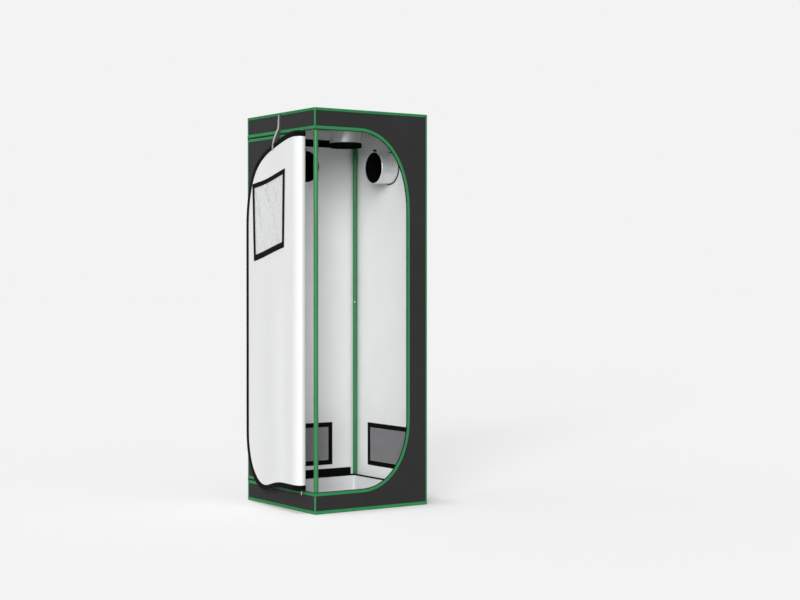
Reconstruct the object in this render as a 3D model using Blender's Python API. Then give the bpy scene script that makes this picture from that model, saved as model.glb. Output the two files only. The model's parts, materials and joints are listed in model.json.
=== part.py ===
"""Indoor grow tent of the 600 x 600 x 1800 mm class: a steel pole frame under a zipped cloth cover.

Metres, +Z up. The origin is the middle of the floor's underside. The front, with the rounded
doorway, faces -Y. The doorway runs on round the front left corner, and its door is folded back
along the left side. A wall's own coordinates are a, to the right seen from outside, and z.
"""

import math

import bmesh
import bpy
from mathutils import Matrix, Vector

# Overall sizes, between the centre lines of the corner piping
SIDE = 0.600
HEIGHT = 1.789
HALF = SIDE / 2

# Cloth and trim
CLOTH = 0.0012
PIPING = 0.008
TAPE = 0.0008
GAP = 0.0003
ROOF_Z = HEIGHT - PIPING / 2
CLOTH_EDGE = HALF - PIPING / 2 - 0.0025
WALL_BOTTOM = PIPING + 0.0010
WALL_TOP = ROOF_Z - PIPING / 2 - 0.0005
PIPING_CORNER = 0.006
PIPING_BREAK = 0.0015
LOW_PIPING_Z = PIPING / 2 + 0.0005

# Zip line: middle of the body's tape, and the strips on either side of it as insets into the opening
ZIP_TOP = 1.702
ZIP_BOTTOM = 0.0875
ZIP_RIGHT = 0.197
TAPE_HALF = 0.0065
TEETH_INSETS = (0.0070, 0.0140)
DOOR_TAPE_INSETS = (0.0145, 0.0265)
DOOR_INSET = 0.0160
DOOR_HEM_INSET = 0.0370
BACK_ZIP_END = 0.270
TEETH = (0.0004, 0.0020)
LAP = 0.0001

# The doorway's rounded corners: centre (a, z), radii and the power of the curve
TOP_CORNER = ((-0.073, 1.342), 0.360, 2.15)
BOTTOM_CORNER = ((-0.053, 0.3975), 0.310, 2.10)
CORNER_STEPS = 12

# Poles, rails and fittings
POLE_RADIUS = 0.0105
BORE_RADIUS = 0.0095
SWAGE_RADIUS = 0.0092
SWAGE_BORE = 0.0080
SWAGE_LENGTH = 0.050
SWAGE_TAPER = 0.008
POLE_CLEARANCE = 0.0017
POLE_AT = HALF - CLOTH / 2 - POLE_RADIUS - POLE_CLEARANCE
POLE_SPLIT = 0.945
BUTTON_Z = 0.925
BOTTOM_RAIL_Z = 0.0125
TOP_RAIL_Z = 1.7694
FITTING_BALL = 0.0108
BALL_STEPS = 8
BALL_TURN = 0.1
FITTING_ARM = 0.020
SPIGOT = 0.045
SPIGOT_RADIUS = 0.0090
SIDES = 16

# Hanging bars, hooked over the top side rails
BAR_Y = 0.140
BAR_Z = 1.745
BAR_RADIUS = 0.008
HOOK_INNER = 0.0112
HOOK_PLATE = 0.0020
HOOK_WIDTH = 0.014
HOOK_ARC = (45, 180)
ARC_STEPS = 9

# Door at rest: where it leaves the side, its cloth lengths and their headings, clockwise from the front
DOOR_PIVOT_Y = -0.195
LEFT_PANEL_END = -DOOR_PIVOT_Y - 0.002
FOLD_LENGTHS = (0.040, 0.030, 0.035)
FOLD_TURNS = (-8.0, -72.0, -75.0)
DOOR_TURN = -28.4
DOOR_SPLIT = 0.076
DOOR_SAG = 0.065
STRIP_GAP = 0.0010

# Door window at rest, in the door's own coordinates
WINDOW = (0.097, 0.404, 1.145, 1.492)
WINDOW_FRAME = (0.012, 0.012, 0.022, 0.016)
WINDOW_COVER_MARGIN = 0.012

# Vents in the back and right walls: (left, right) in a, then the height of both
BACK_VENT = (-0.164, 0.196)
RIGHT_VENT = (-0.167, 0.193)
VENT_Z = (0.138, 0.343)
VENT_BINDING = 0.022
VENT_MESH_MARGIN = 0.006
VENT_COVER_MARGIN = 0.012
VENT_COVER_GAP = 0.0004

# Duct sleeves: centre in the wall's coordinates, and depth. Cord locks: (radius, height) points
SLEEVE_RADIUS = 0.075
SLEEVE_CLOTH = 0.0015
RIGHT_SLEEVE = ((0.0, 1.560), 0.095)
BACK_SLEEVE = ((0.042, 1.568), 0.095)
ROOF_SLEEVE = ((0.050, 0.0), 0.139)
SLEEVE_SIDES = 24
LOCK_RADIUS = 0.0055
CORD_LOCK = ((0, 0), (0.0045, 0), (LOCK_RADIUS, 0.004), (0.0050, 0.016), (0, 0.016))

# Zip sliders and their pulls, on the left side
SLIDER_SIZE = (0.013, 0.009)
SLIDER_OFFSETS = (0.0022, 0.0038)
SLIDER_LUG = (0.0037, 0.0047, 0.0078)
PULL_OFFSET = 0.0060
PULL_RADIUS = 0.0012
PULL_LENGTH = 0.022
PULL_WIDTH = 0.0064
PULL_TIP = 0.001
PULL_ARC = (-50, 230)

# Hold-back strap: its route down the left side as (distance from the wall plane, z)
STRAP_ROUTE = ((0.0025, 1.775), (0.0035, 1.722), (0.0125, 1.700), (0.0290, 1.660), (0.0355, 1.628))
STRAP_WIDTH = 0.014
STRAP_CLOTH = 0.0014
STRAP_LOOP = (0.202, 0.216, 1.603, 1.6245)
STRAP_LOOP_CLOTH = 0.0016
STRAP_LOOP_OFFSET = 0.0006

# Removable floor tray
TRAY_HALF = 0.2760
TRAY_CLOTH = 0.0015
TRAY_Z = (0.0017, 0.0795)
TRAY_RIM_Z = (0.0800, 0.0880)
TRAY_RIM = (0.2732, 0.2772)

# Snap buttons: sizes along the button's own axis, from the pole's middle
BUTTON_RADIUS = 0.0030
BUTTON_REACH = (0.0047, 0.0128)
BUTTON_HOLE = 0.0036
BUTTON_BORE_END = 0.0168
BUTTON_SHOULDER = 0.0015
BUTTON_CROWN = (0.0021, 0.0004)
BUTTON_LEAF = (0.0043, 0.0052)
LEAF_HALF_WIDTH = 0.0030
LEAF_HEIGHTS = (-0.0260, 0.0050)

# Colour, roughness and metallic value of each finish
FINISHES = {
    "outer_cloth": ((0.055, 0.055, 0.060), 0.75, 0.0),
    "lining": ((0.78, 0.79, 0.80), 0.45, 0.0),
    "green_trim": ((0.030, 0.270, 0.090), 0.60, 0.0),
    "zip_teeth": ((0.012, 0.080, 0.035), 0.50, 0.0),
    "black_tape": ((0.015, 0.015, 0.016), 0.80, 0.0),
    "green_steel": ((0.020, 0.160, 0.060), 0.35, 0.0),
    "bright_steel": ((0.70, 0.70, 0.72), 0.30, 1.0),
    "white_mesh": ((0.45, 0.46, 0.47), 0.85, 0.0),
    "window_film": ((0.80, 0.83, 0.84), 0.15, 0.0),
    "tray_cloth": ((0.72, 0.73, 0.74), 0.40, 0.0),
    "webbing": ((0.030, 0.030, 0.032), 0.85, 0.0),
    "black_plastic": ((0.020, 0.020, 0.020), 0.45, 0.0),
}

WALLS = {"front": 0, "right": 90, "back": 180, "left": 270}
CORNERS = {"front_left": (-1, -1), "front_right": (1, -1), "back_left": (-1, 1), "back_right": (1, 1)}


# Scene and objects


def clear_scene():
    for obj in list(bpy.data.objects):
        bpy.data.objects.remove(obj)


def finish(name):
    found = bpy.data.materials.get(name)
    if found:
        return found
    colour, roughness, metallic = FINISHES[name]
    made = bpy.data.materials.new(name)
    made.use_nodes = True
    shader = made.node_tree.nodes["Principled BSDF"]
    shader.inputs["Base Color"].default_value = (*colour, 1.0)
    shader.inputs["Roughness"].default_value = roughness
    shader.inputs["Metallic"].default_value = metallic
    made.diffuse_color = (*colour, 1.0)
    return made


def add(name, meshes, finish_name, origin=(0, 0, 0), parent=None):
    """One named object from closed meshes in world space, or in its parent's space."""
    shape = bmesh.new()
    for mesh in meshes:
        shape.from_mesh(mesh)
        bpy.data.meshes.remove(mesh)
    bmesh.ops.remove_doubles(shape, verts=shape.verts, dist=1e-6)
    bmesh.ops.recalc_face_normals(shape, faces=shape.faces)
    bmesh.ops.translate(shape, verts=shape.verts, vec=-Vector(origin))
    data = bpy.data.meshes.new(name)
    shape.to_mesh(data)
    shape.free()
    data.materials.append(finish(finish_name))
    data.shade_smooth()
    data.set_sharp_from_angle(angle=math.radians(35))
    obj = bpy.data.objects.new(name, data)
    obj.location = origin
    obj.parent = parent
    bpy.context.scene.collection.objects.link(obj)
    return obj


def pivot(name, parent, location, degrees):
    """An empty on a joint's upright axis, turned about it."""
    empty = bpy.data.objects.new(name, None)
    empty.location = location
    empty.rotation_euler = (0, 0, math.radians(degrees))
    empty.parent = parent
    bpy.context.scene.collection.objects.link(empty)
    return empty


# Places


def wall(name, offset=0.0):
    """A wall's frame: x is a, y is height and z points outwards, with its origin offset outwards."""
    turn = Matrix.Rotation(math.radians(WALLS[name]), 4, "Z")
    return turn @ Matrix.Translation((0, -HALF - offset, 0)) @ Matrix.Rotation(math.radians(90), 4, "X")


def side_view(name, a):
    """Across a wall: x points outwards from the wall, y is height, and z runs along the wall."""
    return wall(name) @ Matrix.Translation((a, 0, 0)) @ Matrix.Rotation(math.radians(-90), 4, "Y")


def level(z):
    return Matrix.Translation((0, 0, z))


def upright(y):
    """The plane of a door's cloth: x along it, y is height, moved towards its inner side by y."""
    return Matrix.Translation((0, y, 0)) @ Matrix.Rotation(math.radians(90), 4, "X")


# Shapes


def mesh_of(data):
    """The mesh that a curve makes."""
    guide = bpy.data.objects.new("guide", data)
    bpy.context.scene.collection.objects.link(guide)
    graph = bpy.context.evaluated_depsgraph_get()
    mesh = bpy.data.meshes.new_from_object(guide.evaluated_get(graph), depsgraph=graph)
    bpy.data.objects.remove(guide)
    return mesh


def plate(loops, thickness, place):
    """A flat plate with these outlines, where a loop inside another is a hole."""
    curve = bpy.data.curves.new("outline", "CURVE")
    curve.dimensions = "2D"
    curve.fill_mode = "BOTH"
    curve.extrude = thickness / 2
    for loop in loops:
        spline = curve.splines.new("POLY")
        spline.points.add(len(loop) - 1)
        for point, (x, y) in zip(spline.points, loop):
            point.co = (x, y, 0, 1)
        spline.use_cyclic_u = True
    mesh = mesh_of(curve)
    mesh.transform(place)
    return mesh


def tubes(paths, radius):
    """Round bars along these paths of points, each (points, closed)."""
    curve = bpy.data.curves.new("path", "CURVE")
    curve.dimensions = "3D"
    curve.bevel_depth = radius
    curve.bevel_resolution = 2
    curve.use_fill_caps = True
    for points, closed in paths:
        spline = curve.splines.new("POLY")
        spline.points.add(len(points) - 1)
        for point, place in zip(spline.points, points):
            point.co = (*place, 1)
        spline.use_cyclic_u = closed
    return mesh_of(curve)


def turned(profile, sides, place, closed=False):
    """A solid turned about its own Z from (radius, height) points. A closed profile makes a tube."""
    shape = bmesh.new()
    rings = []
    for radius, height in profile:
        if radius == 0:
            rings.append([shape.verts.new((0, 0, height))] * sides)
            continue
        turns = (2 * math.pi * i / sides for i in range(sides))
        spots = [(radius * math.cos(t), radius * math.sin(t), height) for t in turns]
        rings.append([shape.verts.new(spot) for spot in spots])
    pairs = list(zip(rings, rings[1:] + rings[:1] if closed else rings[1:]))
    for lower, upper in pairs:
        for i in range(sides):
            j = (i + 1) % sides
            corners = list(dict.fromkeys((lower[i], lower[j], upper[j], upper[i])))
            if len(corners) > 2:
                shape.faces.new(corners)
    mesh = bpy.data.meshes.new("turned")
    shape.to_mesh(mesh)
    shape.free()
    mesh.transform(place)
    return mesh


def united(meshes, solver="EXACT"):
    """One solid from meshes that overlap."""
    objects = [bpy.data.objects.new("piece", mesh) for mesh in meshes]
    for obj in objects:
        bpy.context.scene.collection.objects.link(obj)
    for other in objects[1:]:
        modifier = objects[0].modifiers.new("union", "BOOLEAN")
        modifier.operation = "UNION"
        modifier.solver = solver
        modifier.object = other
    graph = bpy.context.evaluated_depsgraph_get()
    mesh = bpy.data.meshes.new_from_object(objects[0].evaluated_get(graph), depsgraph=graph)
    for obj in objects:
        bpy.data.objects.remove(obj)
    return mesh


def copies(mesh, places):
    """The mesh at each of these places. The mesh itself is used up."""
    made = []
    for place in places:
        copy = mesh.copy()
        copy.transform(place)
        made.append(copy)
    bpy.data.meshes.remove(mesh)
    return made


def box(low, high):
    """A box from its lowest to its highest corner."""
    outline = rectangle(low[0], high[0], low[1], high[1])
    return plate([outline], high[2] - low[2], level((low[2] + high[2]) / 2))


# Outlines


def rectangle(left, right, low, high):
    return [(left, low), (right, low), (right, high), (left, high)]


def grown(outline_box, margin):
    left, right, low, high = outline_box
    return (left - margin, right + margin, low - margin, high + margin)


def arc(radius, span, steps):
    """Points on a circle about the origin, over a span in degrees."""
    start, end = span
    angles = (math.radians(start + (end - start) * i / steps) for i in range(steps + 1))
    return [(radius * math.cos(t), radius * math.sin(t)) for t in angles]


def circle(centre, radius, sides):
    angles = (2 * math.pi * (i + 0.5) / sides for i in range(sides))
    return [(centre[0] + radius * math.cos(t), centre[1] + radius * math.sin(t)) for t in angles]


def corner_arc(corner, inset, upwards):
    """A rounded corner of the doorway, from its level end to its upright end."""
    (a, z), rise, power = corner
    across = ZIP_RIGHT - inset - a
    sign = 1 if upwards else -1
    points = []
    for i in range(CORNER_STEPS + 1):
        t = math.pi / 2 * (1 - i / CORNER_STEPS)
        x = across * max(math.cos(t), 0.0) ** (2 / power)
        y = (rise - inset) * max(math.sin(t), 0.0) ** (2 / power)
        points.append((a + x, z + sign * y))
    return points


def doorway(inset, start):
    """The doorway's edge moved inwards by inset: from a = start along the top, round, and back below."""
    top = corner_arc(TOP_CORNER, inset, True)
    bottom = corner_arc(BOTTOM_CORNER, inset, False)
    return [(start, ZIP_TOP - inset), *top, *reversed(bottom), (start, ZIP_BOTTOM + inset)]


def doorway_band(outer, inner, start):
    return doorway(outer, start) + doorway(inner, start)[::-1]


def ribbon(points, thickness):
    """The outline of a strip of this thickness along a line of points."""
    places = [Vector(point) for point in points]
    runs = [(b - a).normalized() for a, b in zip(places, places[1:])]
    sides = ([], [])
    for place, before, after in zip(places, [runs[0], *runs], [*runs, runs[-1]]):
        along = (before + after).normalized()
        reach = thickness / 2 / along.dot(after)
        for side, sign in zip(sides, (1, -1)):
            side.append((place.x - along.y * sign * reach, place.y + along.x * sign * reach))
    return sides[0] + sides[1][::-1]


def zip_strips(outer, inner, left, right):
    """The upper and lower level strips of a zip line between two insets."""
    upper = rectangle(left, right, ZIP_TOP - inner, ZIP_TOP - outer)
    lower = rectangle(left, right, ZIP_BOTTOM + outer, ZIP_BOTTOM + inner)
    return [upper, lower]


# Steel frame


def make_poles():
    """Four uprights, each a lower tube and an upper tube whose swaged end goes into it."""
    low = BOTTOM_RAIL_Z + FITTING_ARM + GAP
    high = TOP_RAIL_Z - FITTING_ARM - GAP
    split = POLE_SPLIT - GAP
    lower = [(POLE_RADIUS, low), (POLE_RADIUS, split), (BORE_RADIUS, split), (BORE_RADIUS, low)]
    upper = [
        (SWAGE_RADIUS, POLE_SPLIT - SWAGE_LENGTH),
        (SWAGE_RADIUS, POLE_SPLIT),
        (POLE_RADIUS, POLE_SPLIT),
        (POLE_RADIUS, high),
        (BORE_RADIUS, high),
        (BORE_RADIUS, POLE_SPLIT + SWAGE_TAPER),
        (SWAGE_BORE, POLE_SPLIT),
        (SWAGE_BORE, POLE_SPLIT - SWAGE_LENGTH),
    ]
    for corner, (x, y) in CORNERS.items():
        origin = (x * POLE_AT, y * POLE_AT, 0)
        place = Matrix.Translation(origin)
        cutter = add("button_hole_" + corner, [button_bore(x, y)], "bright_steel")
        cutter.hide_render = True
        cutter.display_type = "WIRE"
        for part, profile in (("lower", lower), ("upper", upper)):
            tube = turned(profile, SIDES, place, closed=True)
            pole = add(f"pole_{corner}_{part}", [tube], "green_steel", origin)
            hole = pole.modifiers.new("button hole", "BOOLEAN")
            hole.object = cutter


def button_frame(x, y):
    """At a pole, looking inwards: z points from the pole to the middle of the tent."""
    towards = Vector((-x, -y, 0)).normalized()
    turn = towards.to_track_quat("Z", "Y").to_matrix().to_4x4()
    return Matrix.Translation((x * POLE_AT, y * POLE_AT, BUTTON_Z)) @ turn


def button_bore(x, y):
    """The space that a button moves in, cut through both tubes of its pole."""
    low, high = BUTTON_LEAF[1], BUTTON_BORE_END
    profile = [(0, low), (BUTTON_HOLE, low), (BUTTON_HOLE, high), (0, high)]
    return turned(profile, SIDES, button_frame(x, y))


def make_snap_buttons():
    """The domed button of each pole, with its leaf spring inside the swaged end."""
    start, reach = BUTTON_REACH
    crown_radius, crown_drop = BUTTON_CROWN
    dome = [
        (0, start),
        (BUTTON_RADIUS, start),
        (BUTTON_RADIUS, reach - BUTTON_SHOULDER),
        (crown_radius, reach - crown_drop),
        (0, reach),
    ]
    (leaf_in, leaf_out), (leaf_low, leaf_high) = BUTTON_LEAF, LEAF_HEIGHTS
    for corner, (x, y) in CORNERS.items():
        frame = button_frame(x, y)
        leaf = box((-LEAF_HALF_WIDTH, leaf_low, leaf_in), (LEAF_HALF_WIDTH, leaf_high, leaf_out))
        leaf.transform(frame)
        pin = turned(dome, SIDES, frame)
        add(f"snap_button_{corner}", [united([pin, leaf])], "bright_steel", tuple(frame.to_translation()))


def make_frame_ring(name, z, spigots_up):
    """Four level rails welded to four corner fittings, whose spigots go into the poles."""
    rail = [(0, -POLE_AT), (POLE_RADIUS, -POLE_AT), (POLE_RADIUS, POLE_AT), (0, POLE_AT)]
    arm = [
        (0, 0),
        (POLE_RADIUS, 0),
        (POLE_RADIUS, FITTING_ARM),
        (SPIGOT_RADIUS, FITTING_ARM),
        (SPIGOT_RADIUS, SPIGOT),
        (0, SPIGOT),
    ]
    angles = [math.pi * i / BALL_STEPS for i in range(1, BALL_STEPS)]
    ball = [(FITTING_BALL * math.sin(t), -FITTING_BALL * math.cos(t)) for t in angles]
    ball = [(0, -FITTING_BALL), *ball, (0, FITTING_BALL)]
    tip = Matrix.Rotation(0 if spigots_up else math.pi, 4, "X")
    pieces = []
    for degrees in WALLS.values():
        turn = Matrix.Rotation(math.radians(degrees), 4, "Z")
        corner = turn @ Matrix.Translation((-POLE_AT, -POLE_AT, z))
        lay = turn @ Matrix.Translation((0, -POLE_AT, z)) @ Matrix.Rotation(math.radians(90), 4, "Y")
        pieces.append(turned(rail, SIDES, lay))
        pieces.append(turned(ball, SIDES, corner @ Matrix.Rotation(BALL_TURN, 4, "Z")))
        pieces.append(turned(arm, SIDES, corner @ tip))
    add(name, [united(pieces, "MANIFOLD")], "green_steel")


def hanging_hook():
    """The hook over a side rail: from the rail's outer top, over it, and down to the bar."""
    middle = HOOK_INNER + HOOK_PLATE / 2
    route = [*arc(middle, HOOK_ARC, ARC_STEPS), (-middle, BAR_Z - TOP_RAIL_Z - BAR_RADIUS)]
    across = Matrix.Translation((POLE_AT, 0, TOP_RAIL_Z)) @ Matrix.Rotation(math.radians(90), 4, "X")
    return plate([ribbon(route, HOOK_PLATE)], HOOK_WIDTH, across)


def make_hanging_bars():
    end = POLE_AT - HOOK_INNER - HOOK_PLATE / 2
    profile = [(0, -end), (BAR_RADIUS, -end), (BAR_RADIUS, end), (0, end)]
    for name, y in (("hanging_bar_front", -BAR_Y), ("hanging_bar_back", BAR_Y)):
        hooks = copies(hanging_hook(), [Matrix.Identity(4), Matrix.Rotation(math.pi, 4, "Z")])
        lay = Matrix.Translation((0, 0, BAR_Z)) @ Matrix.Rotation(math.radians(90), 4, "Y")
        bar = united([turned(profile, SIDES, lay), *hooks])
        bar.transform(Matrix.Translation((0, y, 0)))
        add(name, [bar], "green_steel", (0, y, BAR_Z))


# Cloth cover


def make_roof_and_floor():
    outline = rectangle(-CLOTH_EDGE, CLOTH_EDGE, -CLOTH_EDGE, CLOTH_EDGE)
    hole = circle(ROOF_SLEEVE[0], SLEEVE_RADIUS - SLEEVE_CLOTH, SLEEVE_SIDES)
    add("roof_panel", [plate([outline, hole], CLOTH, level(ROOF_Z))], "outer_cloth")
    add("floor_panel", [plate([outline], CLOTH, level(CLOTH / 2))], "outer_cloth")


def make_front():
    """The cover's front, round the doorway, open towards the front left corner."""
    outline = rectangle(-CLOTH_EDGE, CLOTH_EDGE, WALL_BOTTOM, WALL_TOP) + doorway(TAPE_HALF, -CLOTH_EDGE)
    add("front_surround", [plate([outline], CLOTH, wall("front"))], "outer_cloth")


def make_zipped_wall(name, right, holes):
    """A wall crossed by both zip lines: a valance, the zipped panel and a skirt."""
    valance = rectangle(-CLOTH_EDGE, CLOTH_EDGE, ZIP_TOP - TAPE_HALF, WALL_TOP)
    skirt = rectangle(-CLOTH_EDGE, CLOTH_EDGE, WALL_BOTTOM, ZIP_BOTTOM + TAPE_HALF)
    inset = DOOR_TAPE_INSETS[0]
    panel = rectangle(-CLOTH_EDGE, right, ZIP_BOTTOM + inset, ZIP_TOP - inset)
    add(f"{name}_valance", [plate([valance], CLOTH, wall(name))], "outer_cloth")
    add(f"{name}_door_panel", [plate([panel, *holes], CLOTH, wall(name))], "outer_cloth")
    add(f"{name}_skirt", [plate([skirt], CLOTH, wall(name))], "outer_cloth")


def make_side_walls():
    make_zipped_wall("left", LEFT_PANEL_END, [])
    make_zipped_wall("back", CLOTH_EDGE, wall_holes(BACK_SLEEVE, BACK_VENT))
    outline = rectangle(-CLOTH_EDGE, CLOTH_EDGE, WALL_BOTTOM, WALL_TOP)
    holes = wall_holes(RIGHT_SLEEVE, RIGHT_VENT)
    add("right_wall", [plate([outline, *holes], CLOTH, wall("right"))], "outer_cloth")


def wall_holes(sleeve, vent):
    round_hole = circle(sleeve[0], SLEEVE_RADIUS - SLEEVE_CLOTH, SLEEVE_SIDES)
    return [round_hole, rectangle(*grown((*vent, *VENT_Z), -VENT_BINDING))]


def make_piping():
    """Piping along every edge of the cover, left out where the doorway and the zips cross a corner."""
    middle = HALF - PIPING_CORNER
    bend = arc(PIPING_CORNER, (-90, 0), 3)
    loop = []
    for degrees in WALLS.values():
        turn = Matrix.Rotation(math.radians(degrees), 4, "Z")
        loop += [turn @ Vector((middle + x, y - middle, 0)) for x, y in bend]
    below = ZIP_BOTTOM - TAPE_HALF - PIPING_BREAK
    above = ZIP_TOP + TAPE_HALF + PIPING_BREAK
    uprights = {
        "front_left": [(LOW_PIPING_Z, below), (above, ROOF_Z)],
        "front_right": [(LOW_PIPING_Z, ROOF_Z)],
        "back_right": [(LOW_PIPING_Z, ROOF_Z)],
        "back_left": [(LOW_PIPING_Z, below), (above, ROOF_Z)],
    }
    pieces = [tubes([([(x, y, z) for x, y, _ in loop], True)], PIPING / 2) for z in (LOW_PIPING_Z, ROOF_Z)]
    for corner, stretches in uprights.items():
        x, y = piping_corner(corner)
        pieces += [tubes([([(x, y, start), (x, y, end)], False)], PIPING / 2) for start, end in stretches]
    add("edge_piping", [united(pieces)], "green_trim")
    x, y = piping_corner("back_left")
    inset = DOOR_TAPE_INSETS[1] + PIPING_BREAK
    between = [(x, y, ZIP_BOTTOM + inset), (x, y, ZIP_TOP - inset)]
    add("edge_piping_back_left", [tubes([(between, False)], PIPING / 2)], "green_trim")


def piping_corner(corner):
    reach = HALF - PIPING_CORNER * (1 - math.sqrt(0.5))
    return tuple(sign * reach for sign in CORNERS[corner])


# Zips


def wrapped_zip(insets, thickness, offset, front):
    """A tape or the teeth: along both zip lines of the left and back walls, and round the doorway."""
    reach = HALF + offset + thickness / 2 - LAP
    outer, inner = insets[0] + LAP, insets[1] - LAP
    left_end = reach if front else LEFT_PANEL_END
    lines = []
    for line in (0, 1):
        left = plate([zip_strips(outer, inner, -reach, left_end)[line]], thickness, wall("left", offset))
        back_line = zip_strips(*insets, -BACK_ZIP_END, reach)[line]
        lines.append([left, plate([back_line], thickness, wall("back", offset))])
    if not front:
        return [united(line) for line in lines]
    band = plate([doorway_band(*insets, -reach)], thickness, wall("front", offset))
    return [united([band, *lines[0], *lines[1]])]


def make_zips():
    """The green tapes on the cover and on the zipped panels, and the teeth between them."""
    outside = CLOTH / 2 + GAP + TAPE / 2
    add("zip_tape_cover", wrapped_zip((-TAPE_HALF, TAPE_HALF), TAPE, outside, True), "green_trim")
    add("zip_teeth", wrapped_zip(TEETH_INSETS, TEETH[1], TEETH[0], True), "zip_teeth")
    for name, tape in zip(("upper", "lower"), wrapped_zip(DOOR_TAPE_INSETS, TAPE, outside, False)):
        add(f"zip_tape_panel_{name}", [tape], "green_trim")


def make_sliders():
    """A slider on each zip line where the door leaves the side, with its hanging pull."""
    length, width = SLIDER_SIZE
    low, high = SLIDER_OFFSETS
    lug_in, lug_out, lug_top = SLIDER_LUG
    middle = sum(TEETH_INSETS) / 2
    channel = [
        (-length / 2, low),
        (length / 2, low),
        (length / 2, high),
        (lug_out, high),
        (lug_out, lug_top),
        (lug_in, lug_top),
        (lug_in, high),
        (-lug_in, high),
        (-lug_in, lug_top),
        (-lug_out, lug_top),
        (-lug_out, high),
        (-length / 2, high),
    ]
    blade, tip = CLOTH / 2, PULL_TIP - PULL_LENGTH
    key = [*arc(PULL_RADIUS, PULL_ARC, ARC_STEPS), (-blade, tip), (0, -PULL_LENGTH), (blade, tip)]
    from_above = Matrix.Rotation(math.radians(90), 4, "X")
    for name, z in (("top", ZIP_TOP - middle), ("bottom", ZIP_BOTTOM + middle)):
        across = wall("left") @ Matrix.Translation((-DOOR_PIVOT_Y, z, 0))
        body = plate([channel], width, across @ from_above)
        place = side_view("left", -DOOR_PIVOT_Y) @ Matrix.Translation((PULL_OFFSET, z, 0))
        origin = place.to_translation()
        add(f"zip_slider_{name}", [body], "bright_steel", tuple(origin))
        add(f"zip_pull_{name}", [plate([key], PULL_WIDTH, place)], "bright_steel", tuple(origin))


# Door


def make_door():
    """The open door as a chain of upright cloth strips, each hinged on the one before."""
    top, bottom = ZIP_TOP - DOOR_INSET, ZIP_BOTTOM + DOOR_INSET
    parent = pivot("door_side_seam", None, (-HALF, DOOR_PIVOT_Y, 0), -90 + FOLD_TURNS[0])
    for i, length in enumerate(FOLD_LENGTHS):
        outline = rectangle(STRIP_GAP, length - STRIP_GAP, bottom, top)
        add(f"door_fold_{i + 1}", [plate([outline], CLOTH, upright(0))], "outer_cloth", parent=parent)
        turn = (*FOLD_TURNS, DOOR_TURN)[i + 1]
        parent = pivot(f"door_bend_{i + 1}", parent, (length, 0, 0), turn)
    near = rectangle(STRIP_GAP, DOOR_SPLIT - STRIP_GAP, bottom, top)
    add("door_panel_near", [plate([near], CLOTH, upright(0))], "outer_cloth", parent=parent)
    make_far_panel(pivot("door_sag", parent, (0, 0, -DOOR_SAG), 0))


def door_edge(inset, start):
    """The doorway's edge in the door's own coordinates, which start at the tent's corner."""
    return [(a + HALF, z) for a, z in doorway(inset, start - HALF)]


def make_far_panel(parent):
    """The wide part of the door with its window, hanging lower at rest than when it is zipped."""
    start = DOOR_SPLIT + STRIP_GAP
    lifted = (*WINDOW[:2], *(z + DOOR_SAG for z in WINDOW[2:]))
    left, right, low, high = lifted
    side, far, below, above = WINDOW_FRAME
    clear = rectangle(left + side, right - far, low + below, high - above)
    edge = door_edge(DOOR_INSET, start)
    hem = edge + door_edge(DOOR_HEM_INSET, start)[::-1]
    loop_left, loop_right, loop_low, loop_high = STRAP_LOOP
    strap_loop = rectangle(loop_left, loop_right, loop_low + DOOR_SAG, loop_high + DOOR_SAG)
    skin = CLOTH / 2 + GAP
    face = skin + TAPE / 2
    add("door_panel_far", [plate([edge, clear], CLOTH, upright(0))], "outer_cloth", parent=parent)
    loop_cloth = plate([strap_loop], STRAP_LOOP_CLOTH, upright(face + STRAP_LOOP_OFFSET))
    tape = united([plate([hem], TAPE, upright(face)), loop_cloth])
    add("door_zip_edge", [tape], "black_tape", parent=parent)
    film = rectangle(left + side / 2, right - far / 2, low + below / 2, high - above / 2)
    add("door_window_film", [plate([film], TAPE, upright(face))], "window_film", parent=parent)
    frame = plate([rectangle(*lifted), clear], CLOTH, upright(face + TAPE / 2 + GAP + CLOTH / 2))
    add("door_window_frame", [frame], "black_tape", parent=parent)
    cover = rectangle(*grown(lifted, WINDOW_COVER_MARGIN))
    panel = plate([cover], CLOTH, upright(-skin - CLOTH / 2))
    add("door_window_cover", [panel], "outer_cloth", parent=parent)


def make_strap():
    """The hold-back strap from the roof's edge, which reaches out to the open door's upper edge."""
    place = side_view("left", 0)
    origin = place @ Vector((*STRAP_ROUTE[0], 0))
    strap = plate([ribbon(STRAP_ROUTE, STRAP_CLOTH)], STRAP_WIDTH, place)
    add("hold_back_strap", [strap], "webbing", tuple(origin))


# Vents and duct sleeves


def make_vents():
    """A mesh window low in the back and right walls, bound inside, with a cover flap outside."""
    for name, span in (("back", BACK_VENT), ("right", RIGHT_VENT)):
        area = (*span, *VENT_Z)
        clear = rectangle(*grown(area, -VENT_BINDING))
        mesh_z = -(CLOTH / 2 + GAP + TAPE / 2)
        net = plate([rectangle(*grown(area, -VENT_MESH_MARGIN))], TAPE, wall(name, mesh_z))
        add(f"vent_mesh_{name}", [net], "white_mesh")
        ring_z = mesh_z - TAPE / 2 - GAP - CLOTH / 2
        binding = plate([rectangle(*area), clear], CLOTH, wall(name, ring_z))
        add(f"vent_binding_{name}", [binding], "black_tape")
        cover = rectangle(*grown(area, VENT_COVER_MARGIN))
        cover_z = CLOTH + VENT_COVER_GAP
        hinge = wall(name) @ Vector((sum(span) / 2, VENT_Z[1] + VENT_COVER_MARGIN, cover_z))
        add(f"vent_cover_{name}", [plate([cover], CLOTH, wall(name, cover_z))], "outer_cloth", tuple(hinge))


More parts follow.
